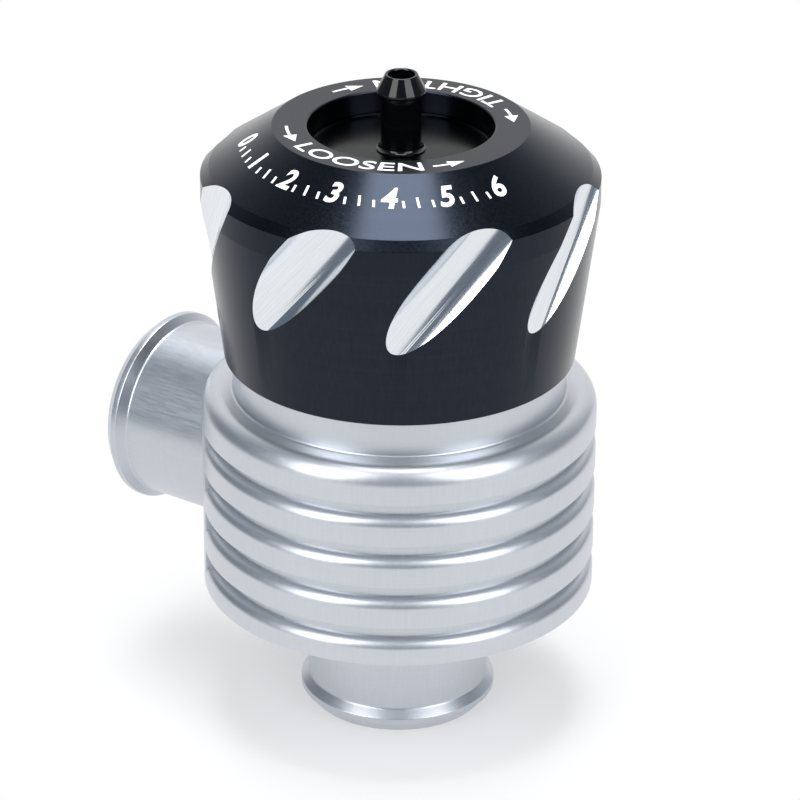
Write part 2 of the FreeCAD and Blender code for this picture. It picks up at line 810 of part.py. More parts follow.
MAKERS = [
    make_valve_body,
    make_outlet_stub,
    make_outlet_seal,
    make_friction_ring,
    make_piston,
    make_piston_seal,
    make_guide_ring,
    make_face_seal,
    make_seal_retainer,
    make_retainer_screw,
    make_spring,
    make_spring_seat,
    make_spring_seat_seal,
    make_thrust_washer,
    make_adjuster_cap,
    make_vacuum_nipple,
]


def check_document(doc, pieces):
    """Stops at a failed object, or at a sub-part that isn't one valid solid."""
    for item in doc.Objects:
        if "Invalid" in item.State or "Error" in item.State:
            raise RuntimeError(f"{item.Label} failed: {item.State}")
    for piece in pieces:
        shape = piece.Shape
        if shape.isNull() or not shape.isValid() or len(shape.Solids) != 1:
            raise RuntimeError(f"{piece.Label} is not one valid solid")


def main():
    doc = FreeCAD.newDocument("blow_off_valve")
    sheet = make_sheet(doc, "sizes")
    dim = Dimensions(sheet.Name)
    pieces = [make(doc, dim) for make in MAKERS]
    doc.recompute()
    check_document(doc, pieces)
    os.makedirs("parts", exist_ok=True)
    for piece in pieces:
        piece.Shape.exportStep(os.path.join("parts", piece.Label + ".step"))
        print(f"{piece.Label}: {piece.Shape.Volume:.1f} cubic millimetres")


main()
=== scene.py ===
"""Blow off valve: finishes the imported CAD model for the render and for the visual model.

The frame is the CAD's: metres, the origin in the middle of the inlet rim, +Z up the valve's axis to
the vacuum nipple, and the outlet stub along -X. Sizes in the classes are millimetres and degrees.
"""

import logging
import math
from dataclasses import dataclass
from enum import Enum
from typing import Callable

import bmesh
import bpy
from mathutils import Matrix, Vector

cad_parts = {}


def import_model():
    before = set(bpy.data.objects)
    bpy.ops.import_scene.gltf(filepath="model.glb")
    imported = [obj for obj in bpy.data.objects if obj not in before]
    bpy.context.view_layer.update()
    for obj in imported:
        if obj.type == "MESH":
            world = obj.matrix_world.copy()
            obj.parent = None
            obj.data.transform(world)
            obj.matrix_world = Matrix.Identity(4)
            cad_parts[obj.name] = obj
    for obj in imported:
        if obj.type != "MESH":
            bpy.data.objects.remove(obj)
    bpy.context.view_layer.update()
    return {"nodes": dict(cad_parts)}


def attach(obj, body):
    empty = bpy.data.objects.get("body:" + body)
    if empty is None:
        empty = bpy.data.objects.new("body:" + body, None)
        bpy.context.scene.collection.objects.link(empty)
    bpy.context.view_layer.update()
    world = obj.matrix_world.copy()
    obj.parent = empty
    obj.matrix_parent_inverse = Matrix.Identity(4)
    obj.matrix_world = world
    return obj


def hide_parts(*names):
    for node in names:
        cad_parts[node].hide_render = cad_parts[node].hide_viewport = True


LOG = logging.getLogger("blow_off_valve")
MM = 0.001
CAMERA_AZIMUTH = 35.2
# The height of the outlet's axis
OUTLET_HEIGHT = 33.7
# The steps of a broken edge and of a large round, and the radius past which a round is large
EDGE_STEPS = 4
LARGE_ROUND_STEPS = 20
LARGE_ROUND = 1.0
# Faces that meet at a larger angle keep a sharp edge between them
SHARP_ANGLE = 25.0
# A capital's height as a share of the font's size
CAPITAL_SHARE = 0.73
# The widest column that a letter is cut into before it is bent
COLUMN_WIDTH = 0.45
# How far a mark stands out of its surface, and how far it reaches into it
MARK_HEIGHT = 0.03
# Distances under which corners are one, and under which a corner is on a plane or on the axis
WELD_DISTANCE = 1e-5
TINY = 1e-6
# The span that a noise pattern's values fill
NOISE_SPAN = (0.3, 0.7)
# A quarter turn of a gleam, so that it is drawn out across the turning marks
ACROSS_THE_MARKS = 0.25

# Small helpers


def linear_colour(code: str) -> tuple[float, float, float, float]:
    """Turns an sRGB hex value into Blender's linear colour.

    Args:
        code: Six hex digits with a leading #.

    Returns:
        Red, green, blue and an alpha of 1.
    """
    parts = [int(code[start : start + 2], 16) / 255 for start in (1, 3, 5)]
    linear = [part / 12.92 if part <= 0.04045 else ((part + 0.055) / 1.055) ** 2.4 for part in parts]
    return (*linear, 1.0)


def add_node(
    tree: bpy.types.NodeTree, kind: str, inputs: dict | None = None, **settings: str
) -> bpy.types.Node:
    """Adds a node to a tree, with its settings, values and links.

    Args:
        tree: The node tree.
        kind: The node's type name.
        inputs: Input names or numbers, each with a value, with the output socket to link, or with
            the node whose first output is linked.
        settings: Properties of the node and their values.

    Returns:
        The new node.
    """
    node = tree.nodes.new(kind)
    for name, value in settings.items():
        setattr(node, name, value)
    set_inputs(node, inputs or {})
    return node


def set_inputs(node: bpy.types.Node, inputs: dict) -> None:
    """Sets a node's inputs or links them.

    Args:
        node: The node.
        inputs: The inputs, given as add_node takes them.
    """
    for name, value in inputs.items():
        if isinstance(value, bpy.types.Node):
            value = value.outputs[0]
        if isinstance(value, bpy.types.NodeSocket):
            node.id_data.links.new(value, node.inputs[name])
        else:
            node.inputs[name].default_value = value


def heading(azimuth: float) -> Vector:
    """Gives the level way of length 1 at an azimuth in degrees, which counts from -Y towards +X."""
    turn = math.radians(azimuth)
    return Vector((math.sin(turn), -math.cos(turn), 0))


def around(azimuth: float, radius: float, height: float) -> Vector:
    """Gives the point at an azimuth in degrees, a radius from the valve's axis and a height."""
    return heading(azimuth) * radius + Vector((0, 0, height))


# Turned sections


@dataclass(frozen=True)
class Corner:
    """A corner of a turned section, with the radius that its edge is broken with."""

    radius: float
    height: float
    edge: float = 0.0

    def place(self) -> Vector:
        """Gives the corner as radius and height."""
        return Vector((self.radius, self.height))


def round_between(centre: Vector, start: Vector, end: Vector, steps: int) -> list[Vector]:
    """Gives the points of an arc.

    Args:
        centre: The arc's centre.
        start: Its first point.
        end: Its last point.
        steps: How many straight steps it has.

    Returns:
        The points, both ends included.
    """
    first = start - centre
    turn = first.angle_signed(end - centre)
    return [centre + Matrix.Rotation(-turn * step / steps, 2) @ first for step in range(steps + 1)]


def broken_edges(corners: list[Corner]) -> list[Vector]:
    """Rounds each corner of a closed section by its own edge radius.

    Args:
        corners: The section's corners in order.

    Returns:
        The section's points, as radius and height in mm.
    """
    points = []
    for index, corner in enumerate(corners):
        here = corner.place()
        if corner.edge == 0:
            points.append(here)
            continue
        back = (corners[index - 1].place() - here).normalized()
        ahead = (corners[(index + 1) % len(corners)].place() - here).normalized()
        half = back.angle(ahead) / 2
        reach = corner.edge / math.tan(half)
        centre = here + (back + ahead).normalized() * (corner.edge / math.sin(half))
        steps = LARGE_ROUND_STEPS if corner.edge > LARGE_ROUND else EDGE_STEPS
        points += round_between(centre, here + back * reach, here + ahead * reach, steps)
    return points


def close_mesh(name: str, points: list[Vector], faces: list[list[int]]) -> bpy.types.Mesh:
    """Makes a closed mesh with its faces pointing outwards.

    Args:
        name: The mesh's name.
        points: Its corners in mm.
        faces: The corners of each face.

    Returns:
        The mesh, in metres.
    """
    mesh = bpy.data.meshes.new(name)
    mesh.from_pydata([point * MM for point in points], [], faces)
    shell = bmesh.new()
    shell.from_mesh(mesh)
    bmesh.ops.recalc_face_normals(shell, faces=shell.faces)
    if shell.calc_volume(signed=True) < 0:
        bmesh.ops.reverse_faces(shell, faces=shell.faces)
    shell.to_mesh(mesh)
    shell.free()
    return mesh


def turned_mesh(name: str, section: list[Vector], columns: int) -> bpy.types.Mesh:
    """Turns a closed section once round Z. A point on the axis becomes one corner.

    Args:
        name: The mesh's name.
        section: Points as radius and height in mm.
        columns: How many columns the circle has.

    Returns:
        The closed mesh, in metres.
    """
    points = []
    rings = []
    for place in section:
        if place.x < TINY:
            rings.append([len(points)] * columns)
            points.append(Vector((0, 0, place.y)))
            continue
        rings.append(list(range(len(points), len(points) + columns)))
        for column in range(columns):
            turn = 2 * math.pi * column / columns
            points.append(Vector((place.x * math.cos(turn), place.x * math.sin(turn), place.y)))
    faces = []
    for index, ring in enumerate(rings):
        other = rings[(index + 1) % len(rings)]
        for column in range(columns):
            after = (column + 1) % columns
            face = list(dict.fromkeys([ring[column], ring[after], other[after], other[column]]))
            if len(face) > 2:
                faces.append(face)
    return close_mesh(name, points, faces)


# Marks


def flat_text(words: str, height: float, shear: float, boldness: float) -> bpy.types.Mesh:
    """Makes letters or digits as a flat mesh in mm, starting at the origin.

    Args:
        words: What is written.
        height: The height of a capital or digit.
        shear: How far the letters lean.
        boldness: How far each stroke is widened.

    Returns:
        The flat mesh, cut into narrow columns so that it can be bent.
    """
    curve = bpy.data.curves.new("letters", "FONT")
    curve.body = words
    curve.size = height / CAPITAL_SHARE
    curve.shear = shear
    curve.offset = boldness
    curve.resolution_u = 4
    holder = new_object("letters", curve)
    mesh = shown_mesh(holder)
    bpy.data.objects.remove(holder)
    flat = bmesh.new()
    flat.from_mesh(mesh)
    bmesh.ops.remove_doubles(flat, verts=flat.verts, dist=WELD_DISTANCE)
    start = min(corner.co.x for corner in flat.verts)
    for corner in flat.verts:
        corner.co.x -= start
    width = max(corner.co.x for corner in flat.verts)
    columns = math.ceil(width / COLUMN_WIDTH)
    for column in range(1, columns):
        everything = flat.verts[:] + flat.edges[:] + flat.faces[:]
        cut = (width * column / columns, 0, 0)
        bmesh.ops.bisect_plane(flat, geom=everything, dist=TINY, plane_co=cut, plane_no=(1, 0, 0))
    flat.to_mesh(mesh)
    flat.free()
    return mesh


def raised_mark(flat: bpy.types.Mesh, place: Callable[[float, float, float], Vector]) -> tuple[list, list]:
    """Gives a flat mark a thickness and bends it over the surface that it stands on.

    Args:
        flat: The flat mesh in mm.
        place: Gives the point for a distance along, a distance up and a height over the surface.

    Returns:
        The points in mm and the faces of a closed mesh.
    """
    count = len(flat.vertices)
    points = [place(corner.co.x, corner.co.y, -MARK_HEIGHT) for corner in flat.vertices]
    points += [place(corner.co.x, corner.co.y, MARK_HEIGHT) for corner in flat.vertices]
    faces = []
    sides = {}
    for face in flat.polygons:
        corners = list(face.vertices)
        faces.append([corner + count for corner in corners])
        faces.append(corners[::-1])
        for first, second in zip(corners, corners[1:] + corners[:1]):
            sides[(first, second)] = [first, second, second + count, first + count]
    faces += [wall for (first, second), wall in sides.items() if (second, first) not in sides]
    return points, faces


# Objects


def new_object(name: str, data: bpy.types.ID) -> bpy.types.Object:
    """Links a new object at the origin.

    Args:
        name: The object's name.
        data: Its mesh, text, lamp or camera.

    Returns:
        The object.
    """
    piece = bpy.data.objects.new(name, data)
    bpy.context.scene.collection.objects.link(piece)
    return piece


def shown_mesh(piece: bpy.types.Object) -> bpy.types.Mesh:
    """Gives the shape that an object shows as a plain mesh of its name.

    Args:
        piece: An object with modifiers, or a text.

    Returns:
        The mesh.
    """
    graph = bpy.context.evaluated_depsgraph_get()
    mesh = bpy.data.meshes.new_from_object(piece.evaluated_get(graph), depsgraph=graph)
    mesh.name = piece.name
    return mesh


def as_plain_mesh(piece: bpy.types.Object) -> bpy.types.Object:
    """Bakes an object's modifiers into its mesh.

    Args:
        piece: The object.

    Returns:
        The same object.
    """
    mesh = shown_mesh(piece)
    piece.modifiers.clear()
    piece.data = mesh
    return piece


def cut_away(piece: bpy.types.Object, cutter: bpy.types.Object) -> None:
    """Cuts one object out of another and removes the cutter.

    Args:
        piece: The object that is cut.
        cutter: The object that is cut out of it.
    """
    cut = piece.modifiers.new("cut", "BOOLEAN")
    cut.operation = "DIFFERENCE"
    cut.solver = "EXACT"
    cut.object = cutter
    cut.material_mode = "TRANSFER"
    as_plain_mesh(piece)
    bpy.data.objects.remove(cutter)


def smooth_faces(piece: bpy.types.Object) -> None:
    """Shades a piece smooth between sharp edges, with large faces kept flat.

    Args:
        piece: The piece.
    """
    piece.data.shade_smooth()
    piece.data.set_sharp_from_angle(angle=math.radians(SHARP_ANGLE))
    weighted = piece.modifiers.new("weighted", "WEIGHTED_NORMAL")
    weighted.keep_sharp = True
    weighted.mode = "FACE_AREA"
    as_plain_mesh(piece)


def hand_over(piece: bpy.types.Object, body: str, slot: str, *stands_for: str) -> None:
    """Puts a finished piece on its CAD body and reports it.

    Args:
        piece: The finished piece.
        body: The CAD body that it moves with.
        slot: The name of a material slot; it is not used.
        stands_for: The CAD nodes that it replaces.
    """
    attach(piece, body)
    if stands_for:
        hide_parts(*stands_for)
    LOG.info("%s rides on %s with %d faces", piece.name, body, len(piece.data.polygons))


# Finishes


@dataclass(frozen=True)
class Finish:
    """What every finish has: two close colours that its pattern mixes, and a roughness."""

    name: str
    colour: str
    darker: str
    roughness: float
    tint_span: tuple[float, float] = NOISE_SPAN
    roughness_spread: float = 0.0

    def material(self) -> bpy.types.Material:
        """Builds the material once, and gives it back on later calls."""
        made = bpy.data.materials.get(self.name)
        if made is None:
            made = bpy.data.materials.new(self.name)
            made.use_nodes = True
            self.dress(made.node_tree, made.node_tree.nodes["Principled BSDF"])
        return made

    def dress(self, tree: bpy.types.NodeTree, shader: bpy.types.Node) -> None:
        """Builds the finish's patterns and links them to the shader."""
        raise NotImplementedError

    def mixed_colour(self, tree: bpy.types.NodeTree, pattern: bpy.types.Node) -> bpy.types.NodeSocket:
        """Mixes the two colours over the pattern's span.

        Args:
            tree: The node tree.
            pattern: The node whose values mix the two colours.

        Returns:
            The socket that gives the colour.
        """
        low, high = self.tint_span
        share = add_node(tree, "ShaderNodeMapRange", {0: pattern, 1: low, 2: high})
        inputs = {0: share, 6: linear_colour(self.darker), 7: linear_colour(self.colour)}
        return add_node(tree, "ShaderNodeMix", inputs, data_type="RGBA").outputs[2]

    def spread_roughness(self, tree: bpy.types.NodeTree, pattern: bpy.types.Node) -> bpy.types.Node:
        """Spreads the roughness a little both ways.

        Args:
            tree: The node tree.
            pattern: The node whose values spread the roughness.

        Returns:
            The node that gives the roughness.
        """
        low, high = NOISE_SPAN
        least = self.roughness - self.roughness_spread
        most = self.roughness + self.roughness_spread
        return add_node(tree, "ShaderNodeMapRange", {0: pattern, 1: low, 2: high, 3: least, 4: most})


class TurnedAxis(Enum):
    """The axis that a piece was turned round."""

    UPRIGHT = "the valve's own axis"
    OUTLET = "the outlet's axis"


@dataclass(frozen=True)
class TurnedMetal(Finish):
    """A metal surface that was turned on a lathe and then finished, with its marks round one axis.

    A fine lathe's rings are too close to show in the render, so they are drawn a few tenths of a
    millimetre apart.
    """

    # The rings and the grain are added up, so their middle is 1
    tint_span: tuple[float, float] = (0.7, 1.3)
    roughness_spread: float = 0.03
    metallic: float = 1.0
    specular: float = 0.5
    anisotropy: float = 0.0
    axis: TurnedAxis = TurnedAxis.UPRIGHT
    ring_spacing: float = 0.25
    ring_height: float = 0.0002
    grain_size: float = 0.3
    grain_length: float = 3.0
    grain_height: float = 0.00015

    def dress(self, tree: bpy.types.NodeTree, shader: bpy.types.Node) -> None:
        """Builds the rings round the axis and the grain along it.

        Args:
            tree: The node tree.
            shader: The node that they are linked to.
        """
        place = add_node(tree, "ShaderNodeTexCoord").outputs["Object"]
        if self.axis is TurnedAxis.OUTLET:
            upended = {0: place, 1: (OUTLET_HEIGHT * MM, 0, 0), 2: (0, math.radians(-90), 0)}
            place = add_node(tree, "ShaderNodeMapping", upended, vector_type="POINT").outputs[0]
        split = add_node(tree, "ShaderNodeSeparateXYZ", {0: place}).outputs
        flat = add_node(tree, "ShaderNodeCombineXYZ", {0: split[0], 1: split[1], 2: 0.0})
        radius = add_node(tree, "ShaderNodeVectorMath", {0: flat}, operation="LENGTH").outputs["Value"]
        rings_at = add_node(tree, "ShaderNodeCombineXYZ", {0: radius, 1: split[2]})
        noise = {"Vector": rings_at, "Scale": 1 / (self.ring_spacing * MM), "Detail": 3.0, "Roughness": 0.6}
        rings = add_node(tree, "ShaderNodeTexNoise", noise)
        stretch = {0: place, 3: (1, 1, self.grain_size / self.grain_length)}
        grain_at = add_node(tree, "ShaderNodeMapping", stretch, vector_type="POINT")
        noise = {"Vector": grain_at, "Scale": 1 / (self.grain_size * MM), "Detail": 2.0, "Roughness": 0.5}
        grain = add_node(tree, "ShaderNodeTexNoise", noise)
        both = add_node(tree, "ShaderNodeMath", {0: rings, 1: grain}, operation="ADD")
        ring_relief = {"Strength": 1.0, "Distance": self.ring_height * MM, "Height": rings}
        grain_relief = {"Strength": 1.0, "Distance": self.grain_height * MM, "Height": grain}
        grain_relief["Normal"] = add_node(tree, "ShaderNodeBump", ring_relief)
        inputs = {
            "Base Color": self.mixed_colour(tree, both),
            "Roughness": self.spread_roughness(tree, grain),
            "Normal": add_node(tree, "ShaderNodeBump", grain_relief),
            "Metallic": self.metallic,
            "Specular IOR Level": self.specular,
        }
        if self.anisotropy:
            across = {0: (0, 0, 1), 1: place}
            way = add_node(tree, "ShaderNodeVectorMath", across, operation="CROSS_PRODUCT")
            spaces = {"vector_type": "VECTOR", "convert_from": "OBJECT", "convert_to": "WORLD"}
            inputs["Tangent"] = add_node(tree, "ShaderNodeVectorTransform", {0: way}, **spaces)
            inputs["Anisotropic"] = self.anisotropy
            inputs["Anisotropic Rotation"] = ACROSS_THE_MARKS
        set_inputs(shader, inputs)


@dataclass(frozen=True)
class MilledMetal(Finish):
    """Bare aluminium left bright by a round cutter, with fine lines along the way of the cut.

    The cutter's lines are too fine to show in the render, so they are drawn wider than they are.
    """

    tint_span: tuple[float, float] = (0.35, 0.65)
    roughness_spread: float = 0.04
    line_spacing: float = 0.18
    line_length: float = 9.0
    line_height: float = 0.0003

    def dress(self, tree: bpy.types.NodeTree, shader: bpy.types.Node) -> None:
        """Builds lines that follow the UV map cut_way, in mm along and across the cut.

        Args:
            tree: The node tree.
            shader: The node that they are linked to.
        """
        way = add_node(tree, "ShaderNodeUVMap", uv_map="cut_way")
        stretch = {0: way, 3: (1 / self.line_length, 1 / self.line_spacing, 1)}
        lines_at = add_node(tree, "ShaderNodeMapping", stretch, vector_type="POINT")
        noise = {"Vector": lines_at, "Scale": 1.0, "Detail": 4.0, "Roughness": 0.6}
        lines = add_node(tree, "ShaderNodeTexNoise", noise)
        relief = {"Strength": 1.0, "Distance": self.line_height * MM, "Height": lines}
        inputs = {
            "Base Color": self.mixed_colour(tree, lines),
            "Roughness": self.spread_roughness(tree, lines),
            "Normal": add_node(tree, "ShaderNodeBump", relief),
            "Metallic": 1.0,
        }
        set_inputs(shader, inputs)


@dataclass(frozen=True)
class MouldedMatter(Finish):
    """Rubber, plastic or paint: a plain body colour with a fine even texture."""

    speck_size: float = 0.2
    speck_height: float = 0.002

    def dress(self, tree: bpy.types.NodeTree, shader: bpy.types.Node) -> None:
        """Builds the specks.

        Args:
            tree: The node tree.
            shader: The node that they are linked to.
        """
        place = add_node(tree, "ShaderNodeTexCoord").outputs["Object"]
        noise = {"Vector": place, "Scale": 1 / (self.speck_size * MM), "Detail": 3.0, "Roughness": 0.6}
        specks = add_node(tree, "ShaderNodeTexNoise", noise)
        relief = {"Strength": 1.0, "Distance": self.speck_height * MM, "Height": specks}
        inputs = {
            "Base Color": self.mixed_colour(tree, specks),
            "Normal": add_node(tree, "ShaderNodeBump", relief),
            "Roughness": self.roughness,
        }
        set_inputs(shader, inputs)


# Clear anodising over fine-turned aluminium: pale, a little blue, with soft-edged reflections
SATIN_UPRIGHT = TurnedMetal(
    "satin_anodised_aluminium", "#cbcfd5", "#c5c9cf", 0.36, metallic=0.92, grain_height=0.00002
)
# The same on the pressed-in stub, turned a little finer, so that its reflections are crisper. Its colour is a
# little darker than the body's: painted shade, as the stub sits low by the floor's shadow
SATIN_OUTLET = TurnedMetal(
    "satin_anodised_aluminium_outlet",
    "#c4c8cf",
    "#bec3ca",
    0.32,
    metallic=0.92,
    grain_height=0.00002,
    axis=TurnedAxis.OUTLET,
)
# Turned aluminium left bare inside the valve: brighter, with clear tool rings
BARE_TURNED = TurnedMetal(
    "bare_turned_aluminium", "#dcdee0", "#c6c9cc", 0.3, ring_spacing=0.3, ring_height=0.002
)
# Black dye in an anodised skin over metal: blue-black, and drawn out across the turning marks where it is lit
BLACK_CAP = TurnedMetal(
    "black_anodised_cap", "#2b3039", "#262b33", 0.24, anisotropy=0.5, ring_height=0.0009, grain_height=0.0002
)
# The same dye over a finer finish: nearly a mirror in black
BLACK_NIPPLE = TurnedMetal(
    "black_anodised_nipple",
    "#07080a",
    "#050607",
    0.07,
    metallic=0.0,
    specular=0.45,
    ring_height=0.0001,
    grain_height=0.00005,
)
# The same dye over a faced plate: black, with wide tool rings that draw the light out across them. Its colour
# is far darker than the cap's: painted shade for the recess under the cap's ring
BLACK_SEAT = TurnedMetal(
    "black_anodised_seat", "#0c0f13", "#080a0d", 0.22, anisotropy=0.8, ring_spacing=0.5, ring_height=0.002
)
# Cut after the cap was dyed, so the bare metal shows its bright cutter lines
BRIGHT_CUT = MilledMetal("bright_cut_aluminium", "#e8ecf0", "#dde2e8", 0.16)
# Drawn spring wire and a screw without a coat: mid grey with a soft gleam
PLAIN_STEEL = TurnedMetal("plain_spring_steel", "#a9abad", "#8e9194", 0.28)
# Nitrile rubber: matt and nearly black
SEAL_RUBBER = MouldedMatter("black_nitrile_rubber", "#202020", "#191919", 0.6)
# Low-friction bearing plastic: off-white and slightly waxy
WHITE_PLASTIC = MouldedMatter("white_bearing_plastic", "#e6e2d8", "#dedacf", 0.45)
# Laser marking turns the dye nearly white: dead matt
LASER_MARK = MouldedMatter("laser_marked_white", "#f4f5f6", "#e4e6e9", 0.55, speck_size=0.25)


def turned_piece(name: str, section: list[Vector], columns: int, finish: Finish) -> bpy.types.Object:
    """Turns a closed section into a piece with its finish.

    Args:
        name: The piece's name.
        section: Points as radius and height in mm.
        columns: How many columns the circle has.
        finish: The piece's finish.

    Returns:
        The upright piece.
    """
    piece = new_object(name, turned_mesh(name, section, columns))
    piece.data.materials.append(finish.material())
    return piece


class Pattern:
    """A Geometry Nodes tree with named sizes, which repeats one shape and gives it a finish."""

    def __init__(self, name: str, sizes: dict[str, float]) -> None:
        """Starts the tree with an input for each size.

        Args:
            name: The name of the tree and of its piece.
            sizes: Each input's name and value. A whole number gets a whole-number input.
        """
        self.name = name
        self.tree = bpy.data.node_groups.new(name, "GeometryNodeTree")
        self.tree.interface.new_socket("Geometry", in_out="OUTPUT", socket_type="NodeSocketGeometry")
        self.values = {}
        for label, size in sizes.items():
            kind = "NodeSocketInt" if isinstance(size, int) else "NodeSocketFloat"
            socket = self.tree.interface.new_socket(label, in_out="INPUT", socket_type=kind)
            self.values[socket.identifier] = size
        self.given = add_node(self.tree, "NodeGroupInput").outputs

    def grow(self, copies: bpy.types.Node, finish: Finish) -> bpy.types.Object:
        """Ends the tree with real geometry and a finish, and gives the piece as a plain mesh.

        Args:
            copies: The node that gives the copies.
            finish: Their finish.

        Returns:
            The object with the plain mesh of all copies.
        """
        real = add_node(self.tree, "GeometryNodeRealizeInstances", {0: copies})
        dressed = {"Geometry": real, "Material": finish.material()}
        add_node(self.tree, "NodeGroupOutput", {0: add_node(self.tree, "GeometryNodeSetMaterial", dressed)})
        piece = new_object(self.name, bpy.data.meshes.new(self.name))
        nodes = piece.modifiers.new("pattern", "NODES")
        nodes.node_group = self.tree
        for identifier, size in self.values.items():
            nodes[identifier] = size
        return as_plain_mesh(piece)


# Sub-assemblies


@dataclass
class Housing:
    """The ribbed body with its inlet stub and neck, and the outlet stub pressed into its side."""

    body: str = "housing"
    tube_radius: float = 12.7
    bore_radius: float = 11.0
    rim_radius: float = 12.4
    rim_edge: float = 0.15
    bead_radius: float = 13.8
    bead_lead: float = 1.6
    bead_land: float = 0.85
    crest_round: float = 0.3
    ramp_foot_round: float = 0.6
    body_bottom: float = 18.8
    root_round: float = 0.25
    shoulder: float = 48.4
    land_top: float = 44.35
    land_radius: float = 27.5
    shoulder_round: float = 2.7
    groove_count: int = 4
    groove_pitch: float = 6.235
    first_groove_top: float = 24.4
    groove_height: float = 3.4
    groove_depth: float = 1.5
    groove_corner: float = 0.4
    lip_steps: int = 16
    groove_corner_steps: int = 5
    groove_edge_steps: int = 3
    pad_half_angle: float = 46.0
    ribbed_columns: int = 216
    pad_columns: int = 74
    neck_radius: float = 23.15
    neck_foot_round: float = 0.4
    thread_radius: float = 22.5
    plain_neck_top: float = 60.0
    neck_top: float = 74.0
    neck_top_edge: float = 0.3
    cylinder_radius: float = 18.5
    cylinder_floor: float = 21.8
    valve_seat: float = 22.3
    seat_radius: float = 12.5
    friction_floor: float = 21.55
    friction_low: float = 57.35
    friction_high: float = 59.05
    outlet_reach: float = 42.5
    socket_floor: float = 20.0
    socket_clearance: float = 0.03
    cutter_run_out: float = 10.0
    stub_columns: int = 192
    edge: float = 0.12

    def stub_corners(self) -> list[Corner]:
        """Gives the outside of a hose stub from its rim to the end of the bead's ramp.

        Returns:
            The corners in order.
        """
        land_end = self.bead_lead + self.bead_land
        return [
            Corner(self.bore_radius, 0, self.rim_edge),
            Corner(self.rim_radius, 0, self.rim_edge),
            Corner(self.bead_radius, self.bead_lead, self.edge),
            Corner(self.bead_radius, land_end, self.crest_round),
            Corner(self.tube_radius, land_end + self.bead_radius - self.tube_radius, self.ramp_foot_round),
        ]

    def groove_points(self, top: float) -> list[Vector]:
        """Gives one groove from the land below it to the land above it, round lip first.

        Args:
            top: The height of the groove's upper edge.

        Returns:
            The points, as radius and height in mm.
        """
        lip = top - self.groove_height
        floor = self.land_radius - self.groove_depth
        inner = floor + self.groove_corner
        below_top = top - self.groove_corner
        outer = self.land_radius - self.edge
        above_top = top + self.edge
        arcs = (
            (self.lip_steps, (floor, lip), (self.land_radius, lip), (floor, lip + self.groove_depth)),
            (self.groove_corner_steps, (inner, below_top), (floor, below_top), (inner, top)),
            (self.groove_edge_steps, (outer, above_top), (outer, top), (self.land_radius, above_top)),
        )
        points = []
        for steps, *places in arcs:
            points += round_between(*map(Vector, places), steps)
        return points

    def section(self) -> tuple[list[Vector], list[tuple[int, int]]]:
        """Gives the body's closed section.

        Returns:
            The points, as radius and height in mm, and the numbers of each groove's first and last point.
        """
        lowest_land_top = Corner(self.land_radius, self.first_groove_top - self.groove_height)
        whole = broken_edges(
            self.stub_corners()
            + [
                Corner(self.tube_radius, self.body_bottom, self.root_round),
                Corner(self.land_radius, self.body_bottom, self.edge),
                lowest_land_top,
                Corner(self.land_radius, self.land_top),
                Corner(self.land_radius, self.shoulder, self.shoulder_round),
                Corner(self.neck_radius, self.shoulder, self.neck_foot_round),
                Corner(self.neck_radius, self.friction_low, self.edge),
                Corner(self.friction_floor, self.friction_low, self.edge),
                Corner(self.friction_floor, self.friction_high, self.edge),
                Corner(self.neck_radius, self.friction_high, self.edge),
                Corner(self.neck_radius, self.plain_neck_top, self.edge),
                Corner(self.thread_radius, self.plain_neck_top, self.edge),
                Corner(self.thread_radius, self.neck_top, self.neck_top_edge),
                Corner(self.cylinder_radius, self.neck_top, self.neck_top_edge),
                Corner(self.cylinder_radius, self.cylinder_floor, self.edge),
                Corner(self.seat_radius, self.cylinder_floor, self.edge),
                Corner(self.seat_radius, self.valve_seat, self.edge),
                Corner(self.bore_radius, self.valve_seat, self.edge),
            ]
        )
        split = whole.index(lowest_land_top.place())
        points = whole[:split]
        grooves = []
        for count in range(self.groove_count):
            groove = self.groove_points(self.first_groove_top + self.groove_pitch * count)
            grooves.append((len(points), len(points) + len(groove) - 1))
            points += groove
        return points + whole[split + 1 :], grooves

    def ribbed_mesh(self) -> bpy.types.Mesh:
        """Turns the body: grooved all round, apart from the smooth pad about the outlet.

        Returns:
            The closed mesh, in metres.
        """
        section, grooves = self.section()
        hidden = {index for first, last in grooves for index in range(first + 1, last)}
        whole = list(range(len(section)))
        plain = [index for index in whole if index not in hidden]
        pad_span = 2 * self.pad_half_angle
        ribbed_span = 360 - pad_span
        start = 180 + self.pad_half_angle
        turns = [start + ribbed_span * step / self.ribbed_columns for step in range(self.ribbed_columns)]
        turns += [start - pad_span * (1 - step / self.pad_columns) for step in range(self.pad_columns)]
        points = []
        columns = []
        for column, turn in enumerate(turns):
            across = math.cos(math.radians(turn))
            along = math.sin(math.radians(turn))
            places = {}
            for index in whole if column <= self.ribbed_columns else plain:
                places[index] = len(points)
                place = section[index]
                points.append(Vector((place.x * across, place.x * along, place.y)))
            columns.append(places)
        faces = []
        for column, places in enumerate(columns):
            after = columns[(column + 1) % len(columns)]
            order = whole if column < self.ribbed_columns else plain
            for spot, following in zip(order, order[1:] + order[:1]):
                faces.append([places[spot], after[spot], after[following], places[following]])
        for column in (0, self.ribbed_columns):
            for first, last in grooves:
                faces.append([columns[column][index] for index in range(first, last + 1)])
        return close_mesh("valve_body", points, faces)

    def laid_along_outlet(self) -> Matrix:
        """Gives the matrix that lays an upright piece along the outlet, its rim outwards."""
        place = Vector((-self.outlet_reach, 0, OUTLET_HEIGHT)) * MM
        return Matrix.Translation(place) @ Matrix.Rotation(math.radians(90), 4, "Y")

